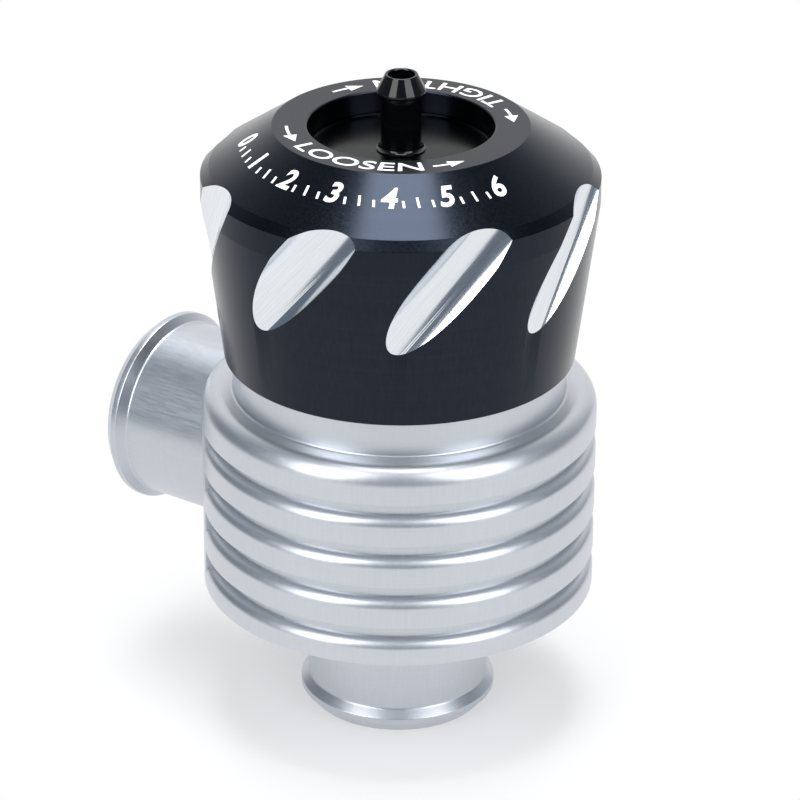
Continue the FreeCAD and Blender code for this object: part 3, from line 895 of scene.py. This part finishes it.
    def outlet_cutter(self) -> bpy.types.Object:
        """Makes the stepped cutter that bores the outlet and its socket.

        Returns:
            The cutter, laid along the outlet.
        """
        socket_radius = self.tube_radius + self.socket_clearance
        socket_depth = self.outlet_reach - self.socket_floor
        section = [
            Vector((0, -self.cutter_run_out)),
            Vector((socket_radius, -self.cutter_run_out)),
            Vector((socket_radius, socket_depth)),
            Vector((self.bore_radius, socket_depth)),
            Vector((self.bore_radius, self.outlet_reach)),
            Vector((0, self.outlet_reach)),
        ]
        mesh = turned_mesh("outlet_cutter", section, self.stub_columns)
        mesh.transform(self.laid_along_outlet())
        return new_object("outlet_cutter", mesh)

    def build_body(self) -> None:
        """Builds the body, bores its outlet and dresses it."""
        piece = new_object("valve_body_turned", self.ribbed_mesh())
        piece.data.materials.append(SATIN_UPRIGHT.material())
        cut_away(piece, self.outlet_cutter())
        smooth_faces(piece)
        hand_over(piece, self.body, "satin_aluminium", "valve_body")

    def build_outlet_stub(self) -> None:
        """Builds the outlet stub and dresses it."""
        length = self.outlet_reach - self.socket_floor
        corners = self.stub_corners() + [Corner(self.tube_radius, length), Corner(self.bore_radius, length)]
        piece = turned_piece("outlet_stub_turned", broken_edges(corners), self.stub_columns, SATIN_OUTLET)
        piece.data.transform(self.laid_along_outlet())
        smooth_faces(piece)
        hand_over(piece, self.body, "satin_aluminium", "outlet_stub")


@dataclass
class Cap:
    """The fluted adjuster cap."""

    body: str = "cap"
    skirt_bore: float = 23.25
    thread_bore: float = 22.55
    thread_start: float = 64.8
    thread_end: float = 78.8
    cavity_radius: float = 18.7
    underside: float = 83.6
    bottom: float = 53.6
    bottom_radius: float = 24.3
    bottom_edge: float = 0.28
    crease: float = 76.65
    crease_round: float = 0.5
    land_radius: float = 27.25
    land_top: float = 80.1
    chamfer: float = 1.2
    ring_radius: float = 17.5
    opening_radius: float = 12.7
    opening_edge: float = 0.25
    top: float = 87.1
    columns: int = 384
    flute_count: int = 8
    flute_turn: float = 6.56
    cutter_radius: float = 4.86
    cutter_length: float = 60.0
    cutter_sides: int = 128
    cutter_axis_radius: float = 29.66
    cutter_height: float = 76.0
    cutter_lean: float = 40.96
    cutter_tilt: float = 2.9
    edge: float = 0.08

    def section(self) -> list[Vector]:
        """Gives the cap's closed section.

        Returns:
            The points, as radius and height in mm.
        """
        return broken_edges(
            [
                Corner(self.skirt_bore, self.bottom, self.edge),
                Corner(self.bottom_radius, self.bottom, self.bottom_edge),
                Corner(self.land_radius, self.crease, self.crease_round),
                Corner(self.land_radius, self.land_top, self.edge),
                Corner(self.land_radius - self.chamfer, self.land_top + self.chamfer, self.edge),
                Corner(self.ring_radius, self.top, self.edge),
                Corner(self.opening_radius, self.top, self.opening_edge),
                Corner(self.opening_radius, self.underside, self.edge),
                Corner(self.cavity_radius, self.underside, self.edge),
                Corner(self.cavity_radius, self.thread_end, self.edge),
                Corner(self.thread_bore, self.thread_end, self.edge),
                Corner(self.thread_bore, self.thread_start, self.edge),
                Corner(self.skirt_bore, self.thread_start, self.edge),
            ]
        )

    def cutters(self) -> bpy.types.Object:
        """Makes the leaning cutters of the flutes with Geometry Nodes.

        Returns:
            One object that holds all the cutters.
        """
        pattern = Pattern(
            "flute_cutters",
            {
                "Count": self.flute_count,
                "Sides": self.cutter_sides,
                "Cutter Length": self.cutter_length * MM,
                "Cutter Radius": self.cutter_radius * MM,
                "Axis Radius": self.cutter_axis_radius * MM,
                "Height": self.cutter_height * MM,
                "Lean": math.radians(self.cutter_lean),
                "Tilt": math.radians(self.cutter_tilt),
                "Turn": math.radians(self.flute_turn),
            },
        )
        tree = pattern.tree
        given = pattern.given
        bar = {"Vertices": given["Sides"], "Radius": given["Cutter Radius"], "Depth": given["Cutter Length"]}
        cutter = add_node(tree, "GeometryNodeMeshCylinder", bar)
        back = add_node(tree, "ShaderNodeMath", {0: given["Lean"], 1: -1.0}, operation="MULTIPLY")
        lean = add_node(tree, "ShaderNodeCombineXYZ", {0: back, 1: given["Tilt"]})
        stand = add_node(tree, "ShaderNodeCombineXYZ", {0: given["Axis Radius"], 2: given["Height"]})
        set_up = {"Geometry": cutter, "Translation": stand, "Rotation": lean}
        placed = add_node(tree, "GeometryNodeTransform", set_up)
        middles = add_node(tree, "GeometryNodePoints", {"Count": given["Count"]})
        index = add_node(tree, "GeometryNodeInputIndex")
        step = add_node(tree, "ShaderNodeMath", {0: 2 * math.pi, 1: given["Count"]}, operation="DIVIDE")
        turned = {0: index, 1: step, 2: given["Turn"]}
        turn = add_node(tree, "ShaderNodeMath", turned, operation="MULTIPLY_ADD")
        spin = add_node(tree, "ShaderNodeCombineXYZ", {2: turn})
        ring = {"Points": middles, "Instance": placed, "Rotation": spin}
        return pattern.grow(add_node(tree, "GeometryNodeInstanceOnPoints", ring), BRIGHT_CUT)

    def map_cuts(self, mesh: bpy.types.Mesh) -> None:
        """Writes the UV map cut_way on the flutes: mm along the cutter's axis, and round it.

        Args:
            mesh: The cap's mesh.
        """
        lean = math.radians(self.cutter_lean)
        tilt = math.radians(self.cutter_tilt)
        way = Vector((math.cos(lean) * math.sin(tilt), math.sin(lean), math.cos(lean) * math.cos(tilt)))
        axes = []
        for count in range(self.flute_count):
            turn = Matrix.Rotation(math.radians(self.flute_turn + 360 * count / self.flute_count), 3, "Z")
            axes.append((turn @ Vector((self.cutter_axis_radius, 0, self.cutter_height)), turn @ way))
        layer = mesh.uv_layers.new(name="cut_way")
        for face in mesh.polygons:
            if mesh.materials[face.material_index].name != BRIGHT_CUT.name:
                continue
            middle = face.center / MM
            origin, along = min(axes, key=lambda axis: (middle - axis[0]).cross(axis[1]).length)
            inward = -(Vector((origin.x, origin.y, 0)).normalized())
            for corner in face.loop_indices:
                spot = mesh.vertices[mesh.loops[corner].vertex_index].co / MM - origin
                turn = math.atan2(spot.dot(inward.cross(along)), spot.dot(inward))
                layer.data[corner].uv = (spot.dot(along), turn * self.cutter_radius)

    def build_shell(self) -> None:
        """Turns the cap, cuts its flutes and dresses it."""
        piece = turned_piece("adjuster_cap_fluted", self.section(), self.columns, BLACK_CAP)
        cut_away(piece, self.cutters())
        smooth_faces(piece)
        self.map_cuts(piece.data)
        hand_over(piece, self.body, "black_anodised", "adjuster_cap")


@dataclass
class Legend:
    """The laser marks on the cap: words and arrows on its ring, and a graduated scale on its cone.

    Azimuths are counted from the camera's, counter-clockwise from above.
    """

    body: str = "cap"
    ring_height: float = 87.1
    word_base_radius: float = 16.45
    word_height: float = 2.8
    word_boldness: float = 0.03
    # Each word with the azimuths of its start and its end
    words: tuple[tuple[str, float, float], ...] = (("LOOSEN", -60.5, 11.0), ("TIGHTEN", 117.5, 194.2))
    # The azimuths of each arrow's tail and tip, and its radius
    arrows: tuple[tuple[float, float, float], ...] = (
        (-86.6, -65.7, 15.5),
        (16.1, 33.0, 15.4),
        (111.9, 93.8, 15.3),
        (-141.2, -159.5, 15.0),
    )
    shaft_width: float = 0.4
    shaft_columns: int = 12
    head_width: float = 1.9
    head_length: float = 2.3
    cone_low_radius: float = 26.05
    cone_low_height: float = 81.3
    cone_top_radius: float = 17.5
    scale_base_radius: float = 21.9
    numeral_height: float = 3.2
    numeral_lean: float = 0.15
    numeral_boldness: float = 0.12
    numeral_count: int = 7
    first_azimuth: float = -88.0
    numeral_step: float = 21.0
    ticks_between: int = 3
    tick_width: float = 0.34
    tick_length: float = 1.1
    long_tick_length: float = 1.6
    # How near a tick is to the middle of its gap, as a share of the gap, when it is the long one
    middle_tolerance: float = 0.01

    def slope(self) -> float:
        """Gives the cone's rise above the level, as an angle in radians."""
        rise = self.ring_height - self.cone_low_height
        return math.atan2(rise, self.cone_low_radius - self.cone_top_radius)

    def scale_base_height(self) -> float:
        """Gives the height of the cone at the foot of its scale."""
        return self.cone_low_height + (self.cone_low_radius - self.scale_base_radius) * math.tan(self.slope())

    def on_ring(self, azimuth: float, base_radius: float, stretch: float = 1.0) -> Callable:
        """Gives the placing of a flat mark on the ring, its top towards the axis.

        Args:
            azimuth: Where the mark starts.
            base_radius: The radius at its foot.
            stretch: How much longer it is made. With -1 it runs the other way.

        Returns:
            A function from the mark's flat place to its point in mm.
        """

        def place(along: float, above: float, height: float) -> Vector:
            """Gives the point in mm."""
            turn = azimuth + math.degrees(along * stretch / base_radius)
            return around(CAMERA_AZIMUTH + turn, base_radius - above, self.ring_height + height)

        return place

    def on_cone(self, azimuth: float) -> Callable:
        """Gives the placing of a flat mark on the cone, its top up the slope.

        Args:
            azimuth: Where the mark starts.

        Returns:
            A function from the mark's flat place to its point in mm.
        """
        level = math.cos(self.slope())
        rise = math.sin(self.slope())

        def place(along: float, above: float, height: float) -> Vector:
            """Gives the point in mm."""
            radius = self.scale_base_radius - above * level + height * rise
            turn = azimuth + math.degrees(along / self.scale_base_radius)
            top = self.scale_base_height() + above * rise + height * level
            return around(CAMERA_AZIMUTH + turn, radius, top)

        return place

    def arrow(self, length: float) -> bpy.types.Mesh:
        """Makes a flat arrow: a slim shaft in short columns and a solid head.

        Args:
            length: Its length in mm.

        Returns:
            The flat mesh in mm.
        """
        shaft = length - self.head_length
        half = self.shaft_width / 2
        points = []
        for column in range(self.shaft_columns + 1):
            reach = shaft * column / self.shaft_columns
            points += [(reach, -half, 0), (reach, half, 0)]
        faces = [(foot, foot + 2, foot + 3, foot + 1) for foot in range(0, 2 * self.shaft_columns, 2)]
        faces.append((len(points), len(points) + 1, len(points) + 2))
        points += [(shaft, -self.head_width / 2, 0), (length, 0, 0), (shaft, self.head_width / 2, 0)]
        mesh = bpy.data.meshes.new("arrow")
        mesh.from_pydata(points, [], faces)
        return mesh

    def build_marks(self, name: str, marks: list[tuple[bpy.types.Mesh, Callable]]) -> None:
        """Builds one piece of flat marks and dresses it.

        Args:
            name: The piece's name.
            marks: Each flat mark with its placing.
        """
        points = []
        faces = []
        for flat, place in marks:
            mark_points, mark_faces = raised_mark(flat, place)
            faces += [[corner + len(points) for corner in face] for face in mark_faces]
            points += mark_points
        piece = new_object(name, close_mesh(name, points, faces))
        piece.data.materials.append(LASER_MARK.material())
        hand_over(piece, self.body, "black_anodised")

    def build_ring_marks(self) -> None:
        """Builds the words and arrows on the ring."""
        marks = []
        for word, first, last in self.words:
            flat = flat_text(word, self.word_height, 0.0, self.word_boldness)
            width = max(corner.co.x for corner in flat.vertices)
            stretch = math.radians(last - first) * self.word_base_radius / width
            marks.append((flat, self.on_ring(first, self.word_base_radius, stretch)))
        for tail, tip, radius in self.arrows:
            flat = self.arrow(math.radians(abs(tip - tail)) * radius)
            marks.append((flat, self.on_ring(tail, radius, math.copysign(1.0, tip - tail))))
        self.build_marks("ring_legend_marks", marks)

    def build_numerals(self) -> None:
        """Builds the scale's numerals on the cone."""
        marks = []
        for count in range(self.numeral_count):
            flat = flat_text(str(count), self.numeral_height, self.numeral_lean, self.numeral_boldness)
            width = max(corner.co.x for corner in flat.vertices)
            half_turn = math.degrees(width / 2 / self.scale_base_radius)
            marks.append((flat, self.on_cone(self.first_azimuth + count * self.numeral_step - half_turn)))
        self.build_marks("scale_numerals", marks)

    def build_ticks(self) -> None:
        """Builds the scale's ticks between the numerals with Geometry Nodes, and dresses them."""
        pattern = Pattern(
            "scale_ticks",
            {
                "Gaps": self.numeral_count - 1,
                "Ticks Between": self.ticks_between,
                "Width": self.tick_width * MM,
                "Short Length": self.tick_length * MM,
                "Long Length": self.long_tick_length * MM,
                "Thickness": 2 * MARK_HEIGHT * MM,
                "Base Radius": self.scale_base_radius * MM,
                "Base Height": self.scale_base_height() * MM,
                "Slope": self.slope(),
                "Lean": self.numeral_lean,
                "First Turn": math.radians(CAMERA_AZIMUTH + self.first_azimuth - 90),
                "Numeral Step": math.radians(self.numeral_step),
                "Middle Tolerance": self.middle_tolerance,
            },
        )
        tree = pattern.tree
        given = pattern.given
        between = given["Ticks Between"]
        ticks = add_node(tree, "ShaderNodeMath", {0: given["Gaps"], 1: between}, operation="MULTIPLY")
        points = add_node(tree, "GeometryNodePoints", {"Count": ticks})
        index = add_node(tree, "GeometryNodeInputIndex")
        gaps = add_node(tree, "ShaderNodeMath", {0: index, 1: between}, operation="DIVIDE")
        gap = add_node(tree, "ShaderNodeMath", {0: gaps}, operation="FLOOR")
        in_gap = add_node(tree, "ShaderNodeMath", {0: index, 1: between}, operation="MODULO")
        spaces = add_node(tree, "ShaderNodeMath", {0: between, 1: 1.0}, operation="ADD")
        first = add_node(tree, "ShaderNodeMath", {0: in_gap, 1: 1.0}, operation="ADD")
        share = add_node(tree, "ShaderNodeMath", {0: first, 1: spaces}, operation="DIVIDE")
        steps = add_node(tree, "ShaderNodeMath", {0: gap, 1: share}, operation="ADD")
        turned = {0: steps, 1: given["Numeral Step"], 2: given["First Turn"]}
        turn = add_node(tree, "ShaderNodeMath", turned, operation="MULTIPLY_ADD")
        off_middle = add_node(tree, "ShaderNodeMath", {0: share, 1: 0.5}, operation="SUBTRACT")
        distance = add_node(tree, "ShaderNodeMath", {0: off_middle}, operation="ABSOLUTE")
        nearer = {0: distance, 1: given["Middle Tolerance"]}
        is_middle = add_node(tree, "ShaderNodeMath", nearer, operation="LESS_THAN")
        lengths = {0: is_middle, 3: given["Short Length"], 4: given["Long Length"]}
        length = add_node(tree, "ShaderNodeMapRange", lengths)
        bar = add_node(tree, "GeometryNodeMeshCube", {"Size": (1, 1, 1)})
        from_foot = add_node(tree, "GeometryNodeTransform", {"Geometry": bar, "Translation": (0.5, 0, 0)})
        size = add_node(tree, "ShaderNodeCombineXYZ", {0: length, 1: given["Width"], 2: given["Thickness"]})
        row = {"Points": points, "Instance": from_foot, "Scale": size}
        copies = add_node(tree, "GeometryNodeInstanceOnPoints", row)
        upward = add_node(tree, "ShaderNodeMath", {0: given["Slope"], 1: math.pi}, operation="SUBTRACT")
        for rotation in ({2: given["Lean"]}, {1: upward}):
            angles = add_node(tree, "ShaderNodeCombineXYZ", rotation)
            copies = add_node(tree, "GeometryNodeRotateInstances", {"Instances": copies, "Rotation": angles})
        stand = add_node(tree, "ShaderNodeCombineXYZ", {0: given["Base Radius"], 2: given["Base Height"]})
        moved = {"Instances": copies, "Translation": stand, "Local Space": False}
        copies = add_node(tree, "GeometryNodeTranslateInstances", moved)
        spin = add_node(tree, "ShaderNodeCombineXYZ", {2: turn})
        spun = {"Instances": copies, "Rotation": spin, "Pivot Point": (0, 0, 0), "Local Space": False}
        piece = pattern.grow(add_node(tree, "GeometryNodeRotateInstances", spun), LASER_MARK)
        hand_over(piece, self.body, "black_anodised")


@dataclass
class Adjuster:
    """The spring seat seen inside the cap's ring, with the vacuum nipple in its middle."""

    body: str = "adjuster"
    sliding_radius: float = 18.4
    inner_radius: float = 15.4
    hollow_edge: float = 0.3
    bottom: float = 66.8
    underside: float = 79.6
    rim: float = 82.8
    top: float = 83.6
    boss_radius: float = 13.1
    seal_floor: float = 16.5
    seal_low: float = 68.15
    seal_high: float = 70.15
    foot_radius: float = 12.62
    foot_round: float = 0.42
    foot_lip: float = 0.08
    foot_edge: float = 0.03
    hole_radius: float = 3.0
    seat_columns: int = 192
    bore_radius: float = 1.8
    shank_radius: float = 2.95
    stem_radius: float = 2.77
    collar_radius: float = 3.35
    collar_edge: float = 83.8
    barb_bottom: float = 91.65
    barb_top: float = 92.2
    barb_radius: float = 3.35
    barb_edge: float = 0.1
    tip: float = 94.4
    tip_radius: float = 2.2
    mouth_edge: float = 0.2
    nipple_columns: int = 128
    fillet_steps: int = 8
    edge: float = 0.06

    def build_seat(self) -> None:
        """Builds the spring seat, with the small rim and round at the foot of the cap's recess."""
        rim_top = self.top + self.foot_round
        lip_radius = self.foot_radius - self.foot_lip
        section = broken_edges(
            [
                Corner(self.hole_radius, self.underside),
                Corner(self.inner_radius, self.underside, self.hollow_edge),
                Corner(self.inner_radius, self.bottom, self.edge),
                Corner(self.sliding_radius, self.bottom, self.edge),
                Corner(self.sliding_radius, self.seal_low, self.edge),
                Corner(self.seal_floor, self.seal_low, self.edge),
                Corner(self.seal_floor, self.seal_high, self.edge),
                Corner(self.sliding_radius, self.seal_high, self.edge),
                Corner(self.sliding_radius, self.rim, self.edge),
                Corner(self.boss_radius, self.rim, self.edge),
                Corner(self.boss_radius, self.top, self.edge),
                Corner(self.foot_radius, self.top),
                Corner(self.foot_radius, rim_top, self.foot_edge),
                Corner(lip_radius, rim_top, self.foot_edge),
            ]
        )
        centre = Vector((lip_radius - self.foot_round, rim_top))
        foot_end = Vector((centre.x, self.top))
        section += round_between(centre, Vector((lip_radius, rim_top)), foot_end, self.fillet_steps)[1:]
        section.append(Vector((self.hole_radius, self.top)))
        piece = turned_piece("spring_seat_turned", section, self.seat_columns, BLACK_SEAT)
        smooth_faces(piece)
        hand_over(piece, self.body, "black_anodised", "spring_seat")

    def build_nipple(self) -> None:
        """Builds the barbed nipple and dresses it."""
        flare_top = self.collar_edge + self.collar_radius - self.stem_radius
        below = broken_edges(
            [
                Corner(self.bore_radius, self.underside),
                Corner(self.shank_radius, self.underside),
                Corner(self.shank_radius, self.top),
                Corner(self.collar_radius, self.top, self.edge),
                Corner(self.collar_radius, self.collar_edge),
            ]
        )
        above = broken_edges(
            [
                Corner(self.stem_radius, flare_top),
                Corner(self.stem_radius, self.barb_bottom, self.edge),
                Corner(self.barb_radius, self.barb_bottom, self.edge),
                Corner(self.barb_radius, self.barb_top, self.barb_edge),
                Corner(self.tip_radius, self.tip, self.edge),
                Corner(self.bore_radius, self.tip, self.mouth_edge),
            ]
        )
        flare = round_between(Vector((self.collar_radius, flare_top)), below[-1], above[0], self.fillet_steps)
        section = below[:-1] + flare + above[1:]
        piece = turned_piece("vacuum_nipple_turned", section, self.nipple_columns, BLACK_NIPPLE)
        smooth_faces(piece)
        hand_over(piece, self.body, "black_anodised", "vacuum_nipple")


@dataclass(frozen=True)
class Softbox:
    """A studio lamp that faces the valve, with its distance and size in metres and its radiance.

    Its azimuth is counted from the camera's.
    """

    name: str
    azimuth: float
    elevation: float
    distance: float
    width: float
    height: float
    brightness: float

    def build(self, middle: Vector) -> None:
        """Hangs the lamp so that it faces the valve.

        Args:
            middle: The middle of the valve.
        """
        lamp = bpy.data.lights.new(self.name, "AREA")
        lamp.shape = "RECTANGLE"
        lamp.size = self.width
        lamp.size_y = self.height
        lamp.energy = self.brightness * math.pi * self.width * self.height
        holder = new_object(self.name, lamp)
        rise = math.radians(self.elevation)
        level = heading(CAMERA_AZIMUTH + self.azimuth)
        side = Vector((-level.y, level.x, 0))
        way = level * math.cos(rise) + Vector((0, 0, math.sin(rise)))
        holder.location = middle + way * self.distance
        holder.rotation_euler = Matrix((side, way.cross(side), way)).transposed().to_euler()
        holder.visible_camera = False


@dataclass
class Studio:
    """A pale floor, a white room, dark flags, soft lamps and the camera.

    Its lengths are metres, and the camera's pitch and roll are radians.
    """

    middle: tuple[float, float, float] = (0, 0, 0.05)
    paper: str = "#eceef0"
    near_paper: tuple[float, float, float, float] = (0.42, 0.425, 0.435, 1)
    near_glow: float = 0.42
    shade_start: float = 0.022
    shade_end: float = 0.062
    floor_half_width: float = 4.0
    floor_height: float = -0.0001
    # The flags' rows from the floor to over the valve, each as its distance from the axis and its height
    flag_rows: tuple[tuple[float, float], ...] = (
        (0.365, 0),
        (0.365, 0.2),
        (1.1, 0.56),
        (0.9, 1.0),
        (0.5, 1.3),
        (0.001, 1.4),
    )
    flag_columns: int = 72
    # The azimuths from the camera's where the low rows hang near. Elsewhere they hang far away
    flag_near_spans: tuple[tuple[float, float], ...] = ((-130, -67), (-30, 30))
    flag_low_rows: int = 2
    flag_far: float = 1.1
    flag_opening: float = 38.0
    flag_opening_top: float = 1.0
    flag_light: tuple[float, float, float, float] = (0.14, 0.165, 0.2, 1)
    flag_light_behind: tuple[float, float, float, float] = (0.66, 0.68, 0.71, 1)
    flag_fade_depth: tuple[float, float] = (0.2, 0.75)
    flag_fade_height: tuple[float, float] = (0.0, 0.3)
    room_light: tuple[float, float, float, float] = (0.5, 0.52, 0.55, 1)
    room_strength: float = 0.6
    camera_distance: float = 0.5206
    camera_height: float = 0.2963
    camera_pitch: float = 0.4485
    camera_roll: float = 0.0065
    camera_lens: float = 186.6
    camera_shift_x: float = 0.00085
    lamps: tuple[Softbox, ...] = (
        Softbox("softbox_left", -44, 33, 0.62, 0.34, 0.66, 3.8),
        Softbox("softbox_right", 46, 33, 0.62, 0.38, 0.66, 3.5),
        Softbox("lamp_above", 180, 80, 0.62, 0.286, 0.46, 9.8),
    )

    def background_rays(self, tree: bpy.types.NodeTree) -> bpy.types.Node:
        """Finds the rays that see the white background.

        Args:
            tree: The node tree.

        Returns:
            A node that gives 1 for the camera's, glossy and transmitted rays, and else 0.
        """
        seen = add_node(tree, "ShaderNodeLightPath").outputs
        most = seen["Is Camera Ray"]
        for ray in ("Is Glossy Ray", "Is Transmission Ray"):
            most = add_node(tree, "ShaderNodeMath", {0: most, 1: seen[ray]}, operation="MAXIMUM")
        return most

    def surface(self, name: str, points: list, faces: list, finish: bpy.types.Material) -> bpy.types.Object:
        """Makes an open surface.

        Args:
            name: The object's name.
            points: Its corners in metres.
            faces: The corners of each face.
            finish: Its material.

        Returns:
            The object.
        """
        mesh = bpy.data.meshes.new(name)
        mesh.from_pydata(points, [], faces)
        mesh.materials.append(finish)
        return new_object(name, mesh)

    def empty_material(self, name: str) -> bpy.types.Material:
        """Makes a material with an empty tree, whose glow isn't sampled as a lamp.

        Args:
            name: The material's name.

        Returns:
            The material.
        """
        made = bpy.data.materials.new(name)
        made.use_nodes = True
        made.node_tree.nodes.clear()
        made.cycles.emission_sampling = "NONE"
        return made

    def build_floor(self) -> None:
        """Lays the floor: paper that is shaded by the valve near it, and white further out."""
        made = self.empty_material("white_paper_floor")
        tree = made.node_tree
        paper = add_node(tree, "ShaderNodeBsdfDiffuse", {0: linear_colour(self.paper)})
        dim = add_node(tree, "ShaderNodeBsdfDiffuse", {0: self.near_paper})
        glow = add_node(tree, "ShaderNodeEmission", {0: (1, 1, 1, 1), 1: self.near_glow})
        near = add_node(tree, "ShaderNodeAddShader", {0: dim, 1: glow})
        far = add_node(tree, "ShaderNodeEmission", {0: (1, 1, 1, 1), 1: 1.0})
        place = add_node(tree, "ShaderNodeTexCoord").outputs["Object"]
        distance = add_node(tree, "ShaderNodeVectorMath", {0: place}, operation="LENGTH").outputs["Value"]
        span = {0: distance, 1: self.shade_start, 2: self.shade_end}
        out = add_node(tree, "ShaderNodeMapRange", span, interpolation_type="SMOOTHSTEP")
        shown = add_node(tree, "ShaderNodeMixShader", {0: out, 1: near, 2: far})
        mixed = add_node(tree, "ShaderNodeMixShader", {0: self.background_rays(tree), 1: paper, 2: shown})
        add_node(tree, "ShaderNodeOutputMaterial", {0: mixed})
        points = []
        for x, y in ((-1, -1), (1, -1), (1, 1), (-1, 1)):
            points.append((x * self.floor_half_width, y * self.floor_half_width, self.floor_height))
        self.surface("floor", points, [(0, 1, 2, 3)], made)

    def flag_material(self) -> bpy.types.Material:
        """Makes the flags' cloth: dark, and paler high up behind the valve.

        Returns:
            The material.
        """
        made = self.empty_material("dark_studio_cloth")
        tree = made.node_tree
        place = add_node(tree, "ShaderNodeTexCoord").outputs["Object"]
        behind = {0: place, 1: heading(CAMERA_AZIMUTH + 180)}
        depth = add_node(tree, "ShaderNodeVectorMath", behind, operation="DOT_PRODUCT").outputs["Value"]
        height = add_node(tree, "ShaderNodeSeparateXYZ", {0: place}).outputs[2]
        near, far = self.flag_fade_depth
        low, high = self.flag_fade_height
        back_share = add_node(tree, "ShaderNodeMapRange", {0: depth, 1: near, 2: far})
        high_share = add_node(tree, "ShaderNodeMapRange", {0: height, 1: low, 2: high})
        share = add_node(tree, "ShaderNodeMath", {0: back_share, 1: high_share}, operation="MULTIPLY")
        lights = {0: share, 6: self.flag_light, 7: self.flag_light_behind}
        tint = add_node(tree, "ShaderNodeMix", lights, data_type="RGBA").outputs[2]
        cloth = add_node(tree, "ShaderNodeEmission", {0: tint, 1: 1.0})
        add_node(tree, "ShaderNodeOutputMaterial", {0: cloth})
        return made

    def build_flags(self) -> None:
        """Hangs dark flags round and over the valve, open behind it, for its reflections alone."""
        points = []
        faces = []
        for row, (radius, height) in enumerate(self.flag_rows):
            for column in range(self.flag_columns):
                azimuth = (360 * column / self.flag_columns + 180) % 360 - 180
                is_near = any(start <= azimuth <= end for start, end in self.flag_near_spans)
                reach = radius if is_near or row >= self.flag_low_rows else self.flag_far
                points.append(around(CAMERA_AZIMUTH + azimuth, reach, height))
        for row, (radius, height) in enumerate(self.flag_rows[:-1]):
            low = row * self.flag_columns
            above = low + self.flag_columns
            for column in range(self.flag_columns):
                middle = 360 * (column + 0.5) / self.flag_columns
                if abs(middle - 180) < self.flag_opening and height < self.flag_opening_top:
                    continue
                after = (column + 1) % self.flag_columns
                faces.append((low + column, low + after, above + after, above + column))
        flags = self.surface("studio_flags", points, faces, self.flag_material())
        flags.visible_camera = False
        flags.visible_diffuse = False
        flags.visible_shadow = False

    def build_world(self) -> None:
        """Sets a white room all round, which is dimmer as a light than as a background."""
        world = bpy.data.worlds.new("studio_room")
        bpy.context.scene.world = world
        world.use_nodes = True
        tree = world.node_tree
        tree.nodes.clear()
        room = add_node(tree, "ShaderNodeBackground", {0: self.room_light, 1: self.room_strength})
        white = add_node(tree, "ShaderNodeBackground", {0: (1, 1, 1, 1), 1: 1.0})
        mixed = add_node(tree, "ShaderNodeMixShader", {0: self.background_rays(tree), 1: room, 2: white})
        add_node(tree, "ShaderNodeOutputWorld", {0: mixed})

    def build_camera(self) -> None:
        """Sets the camera where the photograph was taken from."""
        lens = bpy.data.cameras.new("camera")
        lens.lens = self.camera_lens
        lens.sensor_width = 36
        lens.shift_x = self.camera_shift_x
        camera = new_object("camera", lens)
        bpy.context.scene.camera = camera
        camera.location = around(CAMERA_AZIMUTH, self.camera_distance, self.camera_height)
        down = Vector((0, 0, -math.sin(self.camera_pitch)))
        ahead = down - heading(CAMERA_AZIMUTH) * math.cos(self.camera_pitch)
        right = ahead.cross(Vector((0, 0, 1))).normalized()
        turned = Matrix((right, right.cross(ahead), -ahead)).transposed()
        camera.rotation_euler = (turned @ Matrix.Rotation(self.camera_roll, 3, "Z")).to_euler()

    def build(self) -> None:
        """Sets the whole studio up round the valve."""
        self.build_floor()
        self.build_flags()
        self.build_world()
        for lamp in self.lamps:
            lamp.build(Vector(self.middle))
        self.build_camera()
        bpy.context.scene.view_settings.view_transform = "Standard"


def dress_inner_pieces(nodes: dict[str, bpy.types.Object]) -> None:
    """Gives each CAD node that keeps its shape its own finish.

    Args:
        nodes: The CAD nodes' objects by name.
    """
    finishes = {
        SEAL_RUBBER: ("outlet_seal", "friction_ring", "piston_seal", "face_seal", "spring_seat_seal"),
        WHITE_PLASTIC: ("piston_guide_ring", "thrust_washer"),
        BARE_TURNED: ("piston", "seal_retainer"),
        PLAIN_STEEL: ("retainer_screw", "spring"),
    }
    for finish, names in finishes.items():
        for name in names:
            nodes[name].data.materials.clear()
            nodes[name].data.materials.append(finish.material())
            LOG.info("%s keeps its shape and gets %s", name, finish.name)


def main() -> None:
    """Builds the whole scene."""
    logging.basicConfig(level=logging.INFO, format="%(name)s: %(message)s")
    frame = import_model()
    dress_inner_pieces(frame["nodes"])
    housing = Housing()
    housing.build_body()
    housing.build_outlet_stub()
    adjuster = Adjuster()
    adjuster.build_seat()
    adjuster.build_nipple()
    Cap().build_shell()
    legend = Legend()
    legend.build_ring_marks()
    legend.build_numerals()
    legend.build_ticks()
    Studio().build()


if __name__ == "__main__":
    main()
